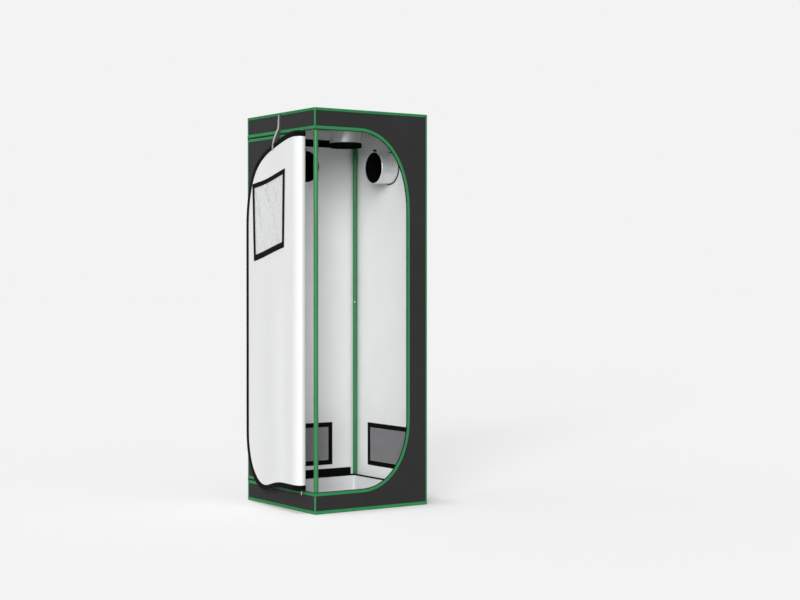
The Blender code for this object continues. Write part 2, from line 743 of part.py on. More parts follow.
def make_sleeves():
    """Duct sleeves hanging inwards from the roof and two walls, each with the lock of its draw cord."""
    skin = CLOTH / 2 + GAP
    outer, inner = SLEEVE_RADIUS, SLEEVE_RADIUS - SLEEVE_CLOTH
    for name, frame, (centre, depth) in (
        ("right", wall("right"), RIGHT_SLEEVE),
        ("back", wall("back"), BACK_SLEEVE),
        ("roof", level(ROOF_Z), ROOF_SLEEVE),
    ):
        place = frame @ Matrix.Translation((*centre, 0))
        tube = [(outer, -depth), (outer, -skin), (inner, -skin), (inner, -depth)]
        add(f"duct_sleeve_{name}", [turned(tube, SLEEVE_SIDES, place, closed=True)], "lining")
        beside = Matrix.Translation((0, outer + LOCK_RADIUS + GAP, -depth))
        add(f"cord_lock_{name}", [turned(CORD_LOCK, SIDES, place @ beside)], "black_plastic")


# Floor tray


def make_tray():
    """A shallow square tray that lifts out, with a bound rim."""
    low, high = TRAY_Z
    shape = bmesh.new()
    bmesh.ops.create_cube(shape, size=1.0)
    bmesh.ops.scale(shape, verts=shape.verts, vec=(2 * TRAY_HALF, 2 * TRAY_HALF, high - low))
    bmesh.ops.translate(shape, verts=shape.verts, vec=(0, 0, (low + high) / 2))
    top = [face for face in shape.faces if face.normal.z > 0.9]
    bmesh.ops.inset_individual(shape, faces=top, thickness=TRAY_CLOTH)
    hollow = bmesh.ops.extrude_discrete_faces(shape, faces=top)["faces"]
    bmesh.ops.translate(shape, verts=hollow[0].verts, vec=(0, 0, low + TRAY_CLOTH - high))
    mesh = bpy.data.meshes.new("tray")
    shape.to_mesh(mesh)
    shape.free()
    add("floor_tray", [mesh], "tray_cloth")
    inner, outer = TRAY_RIM
    loops = [rectangle(-r, r, -r, r) for r in (outer, inner)]
    rim_low, rim_high = TRAY_RIM_Z
    add("floor_tray_rim", [plate(loops, rim_high - rim_low, level((rim_low + rim_high) / 2))], "black_tape")


def main():
    clear_scene()
    make_poles()
    make_snap_buttons()
    make_frame_ring("bottom_frame", BOTTOM_RAIL_Z, True)
    make_frame_ring("top_frame", TOP_RAIL_Z, False)
    make_hanging_bars()
    make_roof_and_floor()
    make_front()
    make_side_walls()
    make_piping()
    make_zips()
    make_sliders()
    make_door()
    make_strap()
    make_vents()
    make_sleeves()
    make_tray()


main()
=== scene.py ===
"""Indoor grow tent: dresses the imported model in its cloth, tapes, zips, film and painted steel.

Metres, +Z up. The front faces -Y. Round the cover, q is the distance from the middle of the front,
positive to the right: the front is -0.3 to 0.3, the right side goes on to 0.9, and the left side and
the back go on to -1.5. Along the door, u is the distance from its side seam. Everywhere z is height
and n is the distance outwards from the middle of the cloth, so the door's dark side has positive n.
"""

import json
import math
from functools import partial

import bmesh
import bpy
import numpy as np
from bpy.props import FloatProperty, FloatVectorProperty, PointerProperty
from bpy.types import Operator, Panel, PropertyGroup
from mathutils import Matrix, Vector, noise
from mathutils.geometry import delaunay_2d_cdt


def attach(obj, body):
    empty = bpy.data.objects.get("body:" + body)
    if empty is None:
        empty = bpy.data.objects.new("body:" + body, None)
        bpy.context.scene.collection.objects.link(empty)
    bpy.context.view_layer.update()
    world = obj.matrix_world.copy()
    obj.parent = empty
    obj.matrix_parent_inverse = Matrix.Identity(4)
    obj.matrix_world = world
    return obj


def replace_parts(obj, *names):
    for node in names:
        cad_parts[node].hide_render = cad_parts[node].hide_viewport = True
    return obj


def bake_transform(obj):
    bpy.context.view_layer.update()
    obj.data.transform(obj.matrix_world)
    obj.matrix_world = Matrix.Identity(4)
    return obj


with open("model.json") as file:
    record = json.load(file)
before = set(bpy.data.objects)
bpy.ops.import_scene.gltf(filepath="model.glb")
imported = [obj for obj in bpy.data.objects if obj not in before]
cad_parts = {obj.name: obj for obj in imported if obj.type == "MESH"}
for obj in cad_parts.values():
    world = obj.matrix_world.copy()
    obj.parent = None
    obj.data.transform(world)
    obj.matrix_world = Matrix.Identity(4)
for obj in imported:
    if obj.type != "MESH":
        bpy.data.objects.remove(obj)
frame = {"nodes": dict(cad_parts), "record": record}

bl_info = {
    "name": "Grow Tent",
    "version": (1, 0, 0),
    "blender": (4, 5, 0),
    "location": "3D View > Sidebar > Grow Tent",
    "description": "Cloth, tapes, zips, window, vents and sleeves of an indoor grow tent",
    "category": "Add Mesh",
}

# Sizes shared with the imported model
HALF = 0.300
HEIGHT = 1.789
CLOTH = 0.0012
TAPE = 0.0008
GAP = 0.0003
ROOF_Z = 1.785
CLOTH_EDGE = 0.2935
LEFT_PANEL_END = 0.193
WALL_BOTTOM = 0.009
WALL_TOP = 1.7805
PIPING_RADIUS = 0.004
PIPING_CORNER = 0.006
LOW_PIPING_Z = 0.0045
PIPING_FLANGES = ((0.0078, 0.0150), (1.7770, 1.7822))
ZIP_TOP = 1.702
ZIP_BOTTOM = 0.0875
ZIP_RIGHT = 0.197
TAPE_HALF = 0.0065
TEETH_INSETS = (0.0070, 0.0140)
COIL_BASE = -0.0006
COIL_HEIGHT = 0.0022
DOOR_TAPE_INSETS = (0.0145, 0.0265)
DOOR_INSET = 0.0160
DOOR_HEM_INSET = 0.0370
BACK_ZIP_END = 0.270
PIPING_BREAK = 0.0015
TOP_CORNER = ((-0.073, 1.342), 0.360, 2.15)
BOTTOM_CORNER = ((-0.053, 0.3975), 0.310, 2.10)
DOORWAY_STEPS = 36
DOOR_SAG = 0.065
SAG_SPAN = 0.34
SAG_SLANT = 0.220
SAG_TOP = 1.690
WINDOW_SAG = DOOR_SAG - 0.022
WINDOW = (0.097, 0.404, 1.145, 1.492)
WINDOW_FRAME = (0.012, 0.012, 0.022, 0.016)
WINDOW_COVER_MARGIN = 0.012
WINDOW_LEAN = (-0.009, 0.017)
WINDOW_RISE = 0.7
VENTS = {"back": (-0.164, 0.196), "right": (-0.167, 0.193)}
VENT_Z = (0.138, 0.343)
VENT_SIZE = (0.360, 0.205)
VENT_BINDING = 0.022
VENT_MESH_MARGIN = 0.006
VENT_COVER_MARGIN = 0.012
SLEEVE_RADIUS = 0.075
SLEEVE_CLOTH = 0.0015
SLEEVE_HEM = 0.021
RIGHT_SLEEVE = ((0.0, 1.560), 0.095)
BACK_SLEEVE = ((0.042, 1.568), 0.095)
ROOF_SLEEVE = ((0.050, 0.0), 0.139)
STRAP_ROUTE = ((0.0028, 1.7805), (0.0035, 1.722), (0.0125, 1.700), (0.0290, 1.660), (0.0355, 1.628))
STRAP_WIDTH = 0.020
STRAP_CLOTH = 0.0014
STRAP_TAB = (0.202, 0.216)
STRAP_TAB_LENGTH = 0.024
TRAY_HALF = 0.2760
TRAY_CLOTH = 0.0015
TRAY_Z = (0.0017, 0.0795)
TRAY_RIM_Z = (0.0800, 0.0880)
TRAY_RIM = (0.2732, 0.2772)
TRAY_CORNER = 0.010

# Where each wall starts in q, and how far it is turned from the front
WALLS = {"back": (-1.5, 180), "left": (-0.9, 270), "front": (-0.3, 0), "right": (0.3, 90)}
WALL_MIDDLE = {name: start + HALF for name, (start, _) in WALLS.items()}
BACK_LEFT_CORNER = -0.9
NEAR_CORNER = -0.3
DOOR_SEAM = -0.405

# The open door in plan: side seam, headings in degrees from +X, and the cloth between its folds
SEAM = (-0.300, -0.195)
HEADINGS = (262.0, 190.0, 115.0, 86.6)
FOLDS = (0.0, 0.040, 0.070, 0.105)
DOOR_END = FOLDS[3] + 0.481

# The least share of its flat size that is taken as a sheet's area
LEAST_AREA = 0.3

SKIN = CLOTH / 2 + GAP
COORDINATES = "cloth"
STITCH_PITCH = 0.0032
STITCH_THREAD = 0.0007


# Shader maths


class Value:
    """A shader socket whose arithmetic adds Math nodes."""

    def __init__(self, nodes, socket):
        self.nodes = nodes
        self.socket = socket

    def maths(self, operation, *values):
        return self.nodes.node("ShaderNodeMath", {"operation": operation}, dict(enumerate(values)))[0]

    def __add__(self, other):
        return self.maths("ADD", self, other)

    __radd__ = __add__

    def __sub__(self, other):
        return self.maths("SUBTRACT", self, other)

    def __rsub__(self, other):
        return self.maths("SUBTRACT", other, self)

    def __mul__(self, other):
        return self.maths("MULTIPLY", self, other)

    __rmul__ = __mul__

    def __truediv__(self, other):
        return self.maths("DIVIDE", self, other)

    def __rtruediv__(self, other):
        return self.maths("DIVIDE", other, self)

    def __abs__(self):
        return self.maths("ABSOLUTE", self)

    def sine(self):
        return self.maths("SINE", self)

    def part(self):
        return self.maths("FRACT", self)

    def least(self, other):
        return self.maths("MINIMUM", self, other)

    def most(self, other):
        return self.maths("MAXIMUM", self, other)

    def under(self, other):
        return self.maths("LESS_THAN", self, other)


class Nodes:
    """A node tree, built from Python expressions."""

    def __init__(self, tree):
        self.tree = tree

    def put(self, socket, value):
        """Links a value into a socket, or sets it there."""
        if isinstance(value, Value):
            self.tree.links.new(value.socket, socket)
        elif socket.type == "RGBA":
            socket.default_value = (*value[:3], 1.0)
        else:
            socket.default_value = value

    def node(self, kind, settings=None, inputs=None):
        """Adds a node with its settings first and then its inputs, and gives back its outputs."""
        made = self.tree.nodes.new(kind)
        for name, value in (settings or {}).items():
            if name == "stops":
                ramp = made.color_ramp
                while len(ramp.elements) < len(value):
                    ramp.elements.new(0.5)
                for element, (place, shade) in zip(ramp.elements, value):
                    element.position = place
                    element.color = (*shade, 1.0)
            else:
                setattr(made, name, value)
        for name, value in (inputs or {}).items():
            self.put(made.inputs[name], value)
        return [Value(self, socket) for socket in made.outputs]

    def for_seen_rays(self, others, seen):
        """One shader for rays from the camera, a mirror or glass, and another for the rest."""
        rays = self.node("ShaderNodeLightPath")
        straight = rays[0].most(rays[3]).most(rays[6])
        return self.node("ShaderNodeMixShader", None, {0: straight, 1: others, 2: seen})[0]


class Finish(Nodes):
    """A material and its shader."""

    def __init__(self, name, colour, **shader):
        self.material = bpy.data.materials.new(name)
        self.material.use_nodes = True
        super().__init__(self.material.node_tree)
        self.shader = self.tree.nodes["Principled BSDF"]
        self.material.diffuse_color = (*colour, 1.0)
        self.base = Vector(colour)
        self.set(base_color=colour, **shader)

    def set(self, **inputs):
        for name, value in inputs.items():
            label = " ".join(word.upper() if word == "ior" else word.title() for word in name.split("_"))
            self.put(self.shader.inputs[label], value)

    def across_and_along(self):
        """The cloth coordinates of a piece in metres, as two values."""
        spot = self.node("ShaderNodeUVMap", {"uv_map": COORDINATES})[0]
        x, y, _ = self.node("ShaderNodeSeparateXYZ", None, {0: spot})
        return x, y

    def spot(self, scale):
        """The cloth coordinates as a vector, stretched by scale."""
        return self.stretched(self.node("ShaderNodeUVMap", {"uv_map": COORDINATES})[0], scale)

    def place(self, scale=(1, 1, 1)):
        """The point on the object as a vector, stretched by scale."""
        return self.stretched(self.node("ShaderNodeTexCoord")[3], scale)

    def stretched(self, vector, scale):
        return self.node("ShaderNodeVectorMath", {"operation": "MULTIPLY"}, {0: vector, 1: scale})[0]

    def clouds(self, where, scale, detail, roughness=0.5):
        inputs = {"Vector": where, "Scale": scale, "Detail": detail, "Roughness": roughness}
        return self.node("ShaderNodeTexNoise", None, inputs)[0]

    def shades(self, value, dark, bright, start=0.3, end=0.7):
        """The finish's colour times dark to times bright, as a value goes from start to end."""
        stops = ((start, self.base * dark), (end, self.base * bright))
        return self.node("ShaderNodeValToRGB", {"stops": stops}, {0: value})[0]

    def blend(self, share, first, second):
        """A colour between two colours."""
        return self.node("ShaderNodeMix", {"data_type": "RGBA"}, {0: share, 6: first, 7: second})[2]

    def relief(self, height, strength, distance):
        """Feeds a height to the shader's normal through a Bump node."""
        inputs = {"Height": height, "Strength": strength, "Distance": distance}
        normal = self.node("ShaderNodeBump", None, inputs)[0]
        self.put(self.shader.inputs["Normal"], normal)


def weave(finish, pitch):
    """The height of a plain weave, from 0 to 1."""
    x, y = finish.across_and_along()
    turn = math.pi / pitch
    over = (x * turn).sine() * (y * turn).sine()
    threads = abs((x * turn * 2).sine()) + abs((y * turn * 2).sine())
    return over * 0.3 + threads * 0.25 + 0.35


def ribbing(value, pitch):
    """Rounded ribs across a value, from 0 to 1."""
    return (value * (2 * math.pi / pitch)).sine() * 0.5 + 0.5


def stitches(finish, inset, width):
    """A row of stitches at a distance inset from both edges of a tape of this width: 1 on the thread."""
    x, y = finish.across_and_along()
    from_edge = width / 2 - abs(y - width / 2)
    row = abs(from_edge - inset).under(STITCH_THREAD / 2)
    dash = (x / STITCH_PITCH).part().under(0.68)
    return row * dash


# Finishes


def outer_cloth(colours):
    shine = {"specular_ior_level": 0.16, "sheen_weight": 0.02}
    made = Finish("outer cloth", colours.outer_cloth, roughness=0.78, **shine)
    cloud = made.clouds(made.spot((3.0, 3.0, 1.0)), 2.2, 4.0, 0.6)
    streak = made.clouds(made.spot((900.0, 60.0, 1.0)), 1.0, 1.0)
    threads = weave(made, 0.0009)
    made.set(base_color=made.shades(cloud * 0.7 + streak * 0.3, 0.86, 1.14), roughness=0.80 - threads * 0.14)
    made.relief(threads + cloud * 0.8, 0.35, 0.0004)
    return made.material


def lining(colours):
    made = Finish("silver lining", colours.lining, roughness=0.42, metallic=0.06)
    x, y = made.across_and_along()
    turn = 2 * math.pi / 0.0042
    diamonds = ((x + y) * turn).sine() * ((x - y) * turn).sine()
    cloud = made.clouds(made.spot((2.0, 1.2, 1.0)), 3.0, 3.0, 0.55)
    crinkle = made.clouds(made.spot((60.0, 45.0, 1.0)), 1.0, 3.0, 0.6)
    made.set(base_color=made.shades(cloud, 0.965, 1.0), roughness=crinkle * 0.12 + 0.34)
    made.relief(diamonds * 0.30 + crinkle * 0.5, 0.25, 0.0004)
    return made.material


def foil(colours):
    """Crinkled silver foil on cloth, as on the duct sleeves."""
    made = Finish("silver foil", colours.lining, roughness=0.32, metallic=0.55)
    cloud = made.clouds(made.place(), 9.0, 3.0, 0.6)
    crinkle = made.clouds(made.place(), 42.0, 4.0, 0.6)
    made.set(base_color=made.shades(cloud, 0.93, 1.0), roughness=crinkle * 0.20 + 0.24)
    made.relief(crinkle, 0.55, 0.0030)
    return made.material


def woven_tape(name, colour, width, inset, strength=0.6, shine=0.25):
    """A ribbed tape with a row of stitches along both edges."""
    made = Finish(name, colour, roughness=0.66, specular_ior_level=shine)
    ribs = ribbing(made.across_and_along()[0], 0.0011)
    cloud = made.clouds(made.spot((30.0, 30.0, 1.0)), 1.0, 3.0, 0.6)
    body = made.shades(ribs * 0.35 + cloud * 0.65, 0.80, 1.18, 0.25, 0.75)
    thread = stitches(made, inset, width)
    bright = tuple(min(1.0, c * 1.5 + 0.004) for c in colour)
    made.set(base_color=made.blend(thread, body, bright), roughness=0.74 - ribs * 0.10)
    made.relief(ribs * 0.45 + thread * 1.2 + cloud * 0.3, strength, 0.0005)
    return made.material


def zip_coil(colours):
    made = Finish("zip coil", colours.coil, roughness=0.60, specular_ior_level=0.10)
    x, y = made.across_and_along()
    teeth = ribbing(x, 0.0017)
    meeting = abs(y - 0.0035).under(0.0004)
    made.set(base_color=made.shades(teeth, 0.45, 1.5, 0.15, 0.80), roughness=0.62 - teeth * 0.25)
    made.relief(teeth - meeting * 0.8, 0.9, 0.0008)
    return made.material


def painted_steel(colours):
    made = Finish("green steel", colours.steel, roughness=0.40, specular_ior_level=0.35, coat_weight=0.08)
    cloud = made.clouds(made.place((1.0, 1.0, 0.25)), 14.0, 4.0, 0.6)
    grain = made.clouds(made.place(), 700.0, 2.0)
    made.set(base_color=made.shades(cloud, 0.88, 1.12), roughness=cloud * 0.16 + 0.33)
    made.relief(grain, 0.25, 0.0002)
    return made.material


def bright_steel(colours):
    made = Finish("bright steel", colours.bright_steel, roughness=0.28, metallic=1.0)
    cloud = made.clouds(made.place(), 90.0, 3.0, 0.6)
    scratch = made.clouds(made.place((1.0, 1.0, 12.0)), 240.0, 2.0)
    made.set(base_color=made.shades(cloud, 0.85, 1.0), roughness=scratch * 0.25 + 0.16)
    made.relief(scratch, 0.15, 0.0002)
    return made.material


def net(colours):
    """A fine net: threads with square holes between them."""
    made = Finish("vent net", colours.net, roughness=0.8)
    pitch = 0.0022
    x, y = ((way / pitch).part().under(0.42) for way in made.across_and_along())
    cloud = made.clouds(made.spot((25.0, 25.0, 1.0)), 1.0, 3.0, 0.6)
    made.set(base_color=made.shades(cloud, 0.85, 1.0), alpha=x.most(y))
    made.relief(weave(made, pitch), 0.5, 0.0004)
    return made.material


def film(colours):
    """Clear film with soft haze and creases that run slantwise; a painted highlight makes the film whiter and
    more opaque along them.
    """
    coat = {"coat_weight": 1.0, "coat_roughness": 0.05}
    made = Finish("window film", colours.film, roughness=0.10, alpha=0.22, **coat)
    x, y = made.across_and_along()
    haze = made.clouds(made.spot((9.0, 7.0, 1.0)), 1.0, 3.0, 0.6)
    ripple = made.clouds(made.spot((34.0, 20.0, 1.0)), 1.0, 3.0, 0.5)
    across, along = x * 0.90 - y * 0.42, x * 0.42 + y * 0.90
    slant = made.node("ShaderNodeCombineXYZ", None, {0: across * 30.0, 1: along * 4.0})[0]
    streak = made.clouds(slant, 1.0, 2.0, 0.55)
    # Painted highlight: along the slanting creases the film turns more opaque and less coated, so its white
    # base shows brighter in place of glints on the creases
    crease_painted_highlight = ((streak - 0.54) * 9.0).most(0.0).least(1.0) * ((haze - 0.40) * 6.0).most(0.0).least(1.0)
    made.set(base_color=made.shades(haze, 0.95, 1.0), roughness=haze * 0.16 + 0.05)
    made.set(alpha=crease_painted_highlight * 0.75 + 0.22, coat_weight=1.0 - crease_painted_highlight)
    made.relief(ripple + streak, 0.25, 0.0012)
    return made.material


def tray_cloth(colours):
    made = Finish("tray cloth", colours.tray, roughness=0.38, coat_weight=0.15)
    cloud = made.clouds(made.spot((6.0, 6.0, 1.0)), 1.0, 4.0, 0.6)
    threads = weave(made, 0.0016)
    made.set(base_color=made.shades(cloud, 0.93, 1.0), roughness=cloud * 0.2 + 0.28)
    made.relief(threads * 0.4 + cloud, 0.3, 0.0005)
    return made.material


def webbing(name, colour):
    """Webbing woven in slanting rows."""
    made = Finish(name, colour, roughness=0.72, specular_ior_level=0.06)
    x, y = made.across_and_along()
    rows = ribbing(x + y * 2, 0.0021)
    made.set(base_color=made.shades(rows, 0.7, 1.3, 0.2, 0.8), roughness=0.80 - rows * 0.12)
    made.relief(rows, 0.7, 0.0005)
    return made.material


def plastic(colours):
    made = Finish("black plastic", colours.plastic, roughness=0.42)
    grain = made.clouds(made.place(), 900.0, 2.0)
    cloud = made.clouds(made.place(), 60.0, 2.0)
    made.set(base_color=made.shades(cloud, 0.85, 1.2), roughness=grain * 0.2 + 0.34)
    made.relief(grain, 0.3, 0.0002)
    return made.material


def plain_cloth(name, colour):
    """A plain woven cloth of one colour."""
    made = Finish(name, colour, roughness=0.80, specular_ior_level=0.06)
    cloud = made.clouds(made.spot((12.0, 12.0, 1.0)), 1.0, 4.0, 0.6)
    threads = weave(made, 0.0011)
    made.set(base_color=made.shades(cloud, 0.85, 1.12), roughness=0.86 - threads * 0.12)
    made.relief(threads + cloud * 0.6, 0.4, 0.0004)
    return made.material


def finishes():
    """The tent's materials by name, made once."""
    colours = bpy.context.scene.grow_tent_colours
    makers = {
        "outer cloth": lambda: outer_cloth(colours),
        "silver lining": lambda: lining(colours),
        "silver foil": lambda: foil(colours),
        "green tape": lambda: woven_tape("green tape", colours.green, 0.013, 0.0022),
        "green piping": lambda: woven_tape("green piping", colours.green, 0.0126, 0.0016, 0.5),
        "black hem": lambda: woven_tape("black hem", colours.black, 0.021, 0.0024, shine=0.04),
        "black binding": lambda: woven_tape("black binding", colours.black, 0.022, 0.0024, shine=0.04),
        "black cloth": lambda: plain_cloth("black cloth", colours.black),
        "zip coil": lambda: zip_coil(colours),
        "green steel": lambda: painted_steel(colours),
        "bright steel": lambda: bright_steel(colours),
        "vent net": lambda: net(colours),
        "window film": lambda: film(colours),
        "tray cloth": lambda: tray_cloth(colours),
        "webbing": lambda: webbing("webbing", colours.webbing),
        # Painted highlight: light grey standing in for the lit edge of the black strap, also used on its tab
        "webbing painted highlight": lambda: webbing("webbing painted highlight", colours.webbing_painted_highlight),
        "black plastic": lambda: plastic(colours),
    }
    return {name: bpy.data.materials.get(name) or make() for name, make in makers.items()}


# Surfaces


def smooth(value, start=0.0, end=1.0):
    t = min(max((value - start) / (end - start), 0.0), 1.0)
    return t * t * (3 - 2 * t)


def curve(a, b, way_a, way_b, t):
    """A point on the curve from a to b that leaves along way_a and arrives along way_b."""
    return (
        a * (2 * t**3 - 3 * t**2 + 1)
        + way_a * (t**3 - 2 * t**2 + t)
        + b * (3 * t**2 - 2 * t**3)
        + way_b * (t**3 - t**2)
    )


def wall_of(q):
    """The name of the wall at q, and the distance along it from its middle."""
    for name, middle in WALL_MIDDLE.items():
        if abs(q - middle) <= HALF + 1e-6:
            return name, q - middle
    raise ValueError(f"q is {q}, off the cover")


def slack(name, a, z):
    """How far the stretched cloth of a wall stands out from its plane."""
    seed = 3.7 * WALLS[name][1]
    from_ends = min(smooth(z, 0.012, 0.06), smooth(HEIGHT - z, 0.012, 0.06))
    from_edge = min(smooth(HALF - abs(a), 0.012, 0.09), from_ends)
    from_zip = min(smooth(abs(z - ZIP_TOP), 0.018, 0.10), smooth(abs(z - ZIP_BOTTOM), 0.018, 0.10))
    if name == "right":
        from_zip = 1.0
    if name == "front":
        from_zip = smooth(a - ZIP_RIGHT, 0.010, 0.05)
    wide = noise.noise(Vector((a * 5.0, z * 2.4, seed)))
    fine = noise.noise(Vector((a * 13.0 + z * 2.0, z * 5.0, seed + 9)))
    depth = bpy.context.scene.grow_tent_sizes.slack
    from_vent = 1.0
    if name in VENTS:
        left, right = VENTS[name]
        aside, above = max(left - a, a - right, 0.0), max(VENT_Z[0] - z, z - VENT_Z[1], 0.0)
        from_vent = smooth(math.hypot(aside, above), 0.03, 0.10)
    out = depth * (1.7 * wide + 0.7 * fine) * from_edge * from_zip * from_vent
    return max(out, -0.0010)


def cover(q, z, n=0.0):
    """A point on the cover, n outwards from the middle of its cloth."""
    name, a = wall_of(q)
    n += slack(name, a, z)
    along = a * (HALF + n) / HALF
    turn = math.radians(WALLS[name][1])
    x, y = along, -HALF - n
    return Vector((x * math.cos(turn) - y * math.sin(turn), x * math.sin(turn) + y * math.cos(turn), z))


def roof(a, b, n=0.0):
    """A point on the roof, which hangs a little between its rails and stands out by n."""
    hang = smooth(HALF - abs(a), 0.01, 0.22) * smooth(HALF - abs(b), 0.01, 0.22)
    from_sleeve = smooth(math.hypot(a - ROOF_SLEEVE[0][0], b), SLEEVE_RADIUS, 0.16)
    return Vector((a, b, ROOF_Z + n - 0.0025 * hang * from_sleeve))


def floor(a, b, n=0.0):
    return Vector((a, b, CLOTH / 2 + n))


PLAN = [Vector(SEAM)]
WAYS = [Vector((math.cos(math.radians(h)), math.sin(math.radians(h)))) for h in HEADINGS]
for first, last, way in zip(FOLDS, FOLDS[1:], WAYS):
    PLAN.append(PLAN[-1] + way * (last - first))


def bends(z):
    """Where the folded door bends: distance along its cloth, and the lengths it takes before and after."""
    low = 1 - smooth(z, 0.10, 1.60)
    ends = (0.0140, 0.0140), (0.0155, 0.0175), (0.0165, 0.024 + 0.036 * low)
    return [(at, *lengths) for at, lengths in zip(FOLDS[1:], ends)]


def door_plan(u, z):
    """The middle of the door's cloth in plan at rest."""
    for i, (at, before, after) in enumerate(bends(z)):
        if at - before < u < at + after:
            span = before + after
            start, end = PLAN[i + 1] - WAYS[i] * before, PLAN[i + 1] + WAYS[i + 1] * after
            return curve(start, end, WAYS[i] * span, WAYS[i + 1] * span, (u - at + before) / span)
    i = sum(u > at for at in FOLDS[1:])
    return PLAN[i] + WAYS[i] * (u - FOLDS[i])


def folds(u, z):
    """How far the hanging door's soft folds stand out towards its dark side."""
    s = u - FOLDS[3]
    clear = smooth(s, 0.05, 0.16)
    fade = smooth(DOOR_END - u, 0.0, 0.10) * 0.7 + 0.3
    low = 1 - smooth(z, 0.2, 1.3)
    wave = math.sin(s * 21.0 + z * 0.9 + 0.6) * (0.0012 + 0.0016 * low)
    ripple = noise.noise(Vector((s * 7.0, z * 1.6, 4.2))) * 0.0035
    return (wave + ripple) * clear * fade


# The sag grows along a slanted line from the door's fold, and begins later further down
SAG_START = Vector((*(PLAN[3] - WAYS[3] * 0.005), SAG_TOP))
SAG_WAY = Vector((*(WAYS[3] / SAG_SPAN), SAG_SLANT))


def sag_share(point):
    return smooth((point - SAG_START).dot(SAG_WAY))


def door(u, z, n=0.0):
    """A point on the hanging door, where z is its height when it is zipped shut."""
    step = 0.0008
    middle = door_plan(u, z)
    way = (door_plan(u + step, z) - door_plan(u - step, z)).normalized()
    out = n + folds(u, z)
    spot = Vector((middle.x + way.y * out, middle.y - way.x * out, z))
    if u > FOLDS[3]:
        for _ in range(4):
            spot.z = z - DOOR_SAG * sag_share(spot)
    return spot


# Outlines


def corner_arc(corner, inset, upwards):
    """A rounded corner of the doorway, from its level end to its upright end."""
    (a, z), rise, power = corner
    across = ZIP_RIGHT - inset - a
    sign = 1 if upwards else -1
    points = []
    for i in range(DOORWAY_STEPS + 1):
        t = math.pi / 2 * (1 - i / DOORWAY_STEPS)
        x = across * max(math.cos(t), 0.0) ** (2 / power)
        y = (rise - inset) * max(math.sin(t), 0.0) ** (2 / power)
        points.append((a + x, z + sign * y))
    return points


def stepped(stops, spacing=0.025):
    """Even steps between these stops, without the last stop."""
    run = []
    for a, b in zip(stops, stops[1:]):
        count = max(1, round((b - a) / spacing))
        run += [a + (b - a) * i / count for i in range(count)]
    return run


def doorway(inset, start):
    """The doorway's edge moved inwards by inset: from q = start along the top, round, and back below."""
    top = corner_arc(TOP_CORNER, inset, True)
    bottom = corner_arc(BOTTOM_CORNER, inset, False)
    turns = [q for q in (BACK_LEFT_CORNER, NEAR_CORNER) if q > start + 1e-6]
    level = stepped([start, *turns, top[0][0]])
    high, low = top[-1][1], bottom[-1][1]
    side = [high + (low - high) * i / DOORWAY_STEPS for i in range(1, DOORWAY_STEPS)]
    upright = [(ZIP_RIGHT - inset, z) for z in side]
    head = [(q, ZIP_TOP - inset) for q in level]
    foot = [(q, ZIP_BOTTOM + inset) for q in reversed(level)]
    return [*head, *top, *upright, *reversed(bottom), *foot]


def rectangle(left, right, low, high):
    return [(left, low), (right, low), (right, high), (left, high)]


def rounded_square(half, radius, steps):
    """A square's outline with round corners of this many steps."""
    reach = half - radius
    loop = []
    for i, (x, y) in enumerate(((1, -1), (1, 1), (-1, 1), (-1, -1))):
        for k in range(steps + 1):
            t = math.pi / 2 * (i - 1 + k / steps)
            loop.append((x * reach + radius * math.cos(t), y * reach + radius * math.sin(t)))
    return loop


def grown(area, margin):
    left, right, low, high = area
    return (left - margin, right + margin, low - margin, high + margin)


def circle(centre, radius, sides=48):
    turns = (2 * math.pi * (i + 0.5) / sides for i in range(sides))
    return [(centre[0] + radius * math.cos(t), centre[1] + radius * math.sin(t)) for t in turns]


def finer(loop, spacing, closed=True):
    """The same outline with points no further apart than spacing."""
    points = []
    ends = loop[1:] + loop[:1] if closed else loop[1:]
    for (ax, ay), (bx, by) in zip(loop, ends):
        count = max(1, math.ceil(math.hypot(bx - ax, by - ay) / spacing - 1e-6))
        points += [(ax + (bx - ax) * i / count, ay + (by - ay) * i / count) for i in range(count)]
    return points if closed else [*points, loop[-1]]


# Meshes


def inside(points, loops, margin=0.0):
    """Which points lie inside the outlines, and further than margin from each of them."""
    points = np.array(points)
    starts = np.concatenate([np.array(loop) for loop in loops])
    ends = np.concatenate([np.roll(np.array(loop), -1, axis=0) for loop in loops])
    within = np.zeros(len(points), bool)
    clear = np.ones(len(points), bool)
    for (ax, ay), (bx, by) in zip(starts, ends):
        if (ay > by) != (ay < by):
            crosses = (ay > points[:, 1]) != (by > points[:, 1])
            at = ax + (points[:, 1] - ay) / (by - ay) * (bx - ax)
            within ^= crosses & (points[:, 0] < at)
        if margin:
            way = np.array((bx - ax, by - ay))
            along = np.clip(((points - (ax, ay)) @ way) / max(way @ way, 1e-12), 0, 1)
            clear &= np.hypot(*(points - (ax, ay) - along[:, None] * way).T) > margin
    return within & clear


def filled(outline, holes, spacing):
    """Flat points and triangles inside an outline and outside its holes."""
    loops = [finer(loop, spacing) for loop in (outline, *holes)]
    low, high = np.min(loops[0], axis=0), np.max(loops[0], axis=0)
    counts = [max(2, math.ceil((b - a) / spacing)) for a, b in zip(low, high)]
    grid = [
        (low[0] + (high[0] - low[0]) * i / counts[0], low[1] + (high[1] - low[1]) * j / counts[1])
        for i in range(1, counts[0])
        for j in range(1, counts[1])
    ]
    grid = [spot for spot, keep in zip(grid, inside(grid, loops, spacing * 0.45)) if keep] if grid else []
    spots, edges = [], []
    for loop in loops:
        first = len(spots)
        spots += loop
        edges += [(first + i, first + (i + 1) % len(loop)) for i in range(len(loop))]
    found, _, triangles, *_ = delaunay_2d_cdt([Vector(s) for s in spots + grid], edges, [], 0, 1e-7)
    middles = [sum((found[i] for i in face), Vector((0, 0))) / 3 for face in triangles]
    kept = [face for face, keep in zip(triangles, inside([tuple(m) for m in middles], loops)) if keep]
    kept = [face if turns_left(found, face) else face[::-1] for face in kept]
    return [tuple(point) for point in found], kept


def turns_left(points, face):
    a, b, c = (points[i] for i in face)
    return (b - a).cross(c - a) > 0


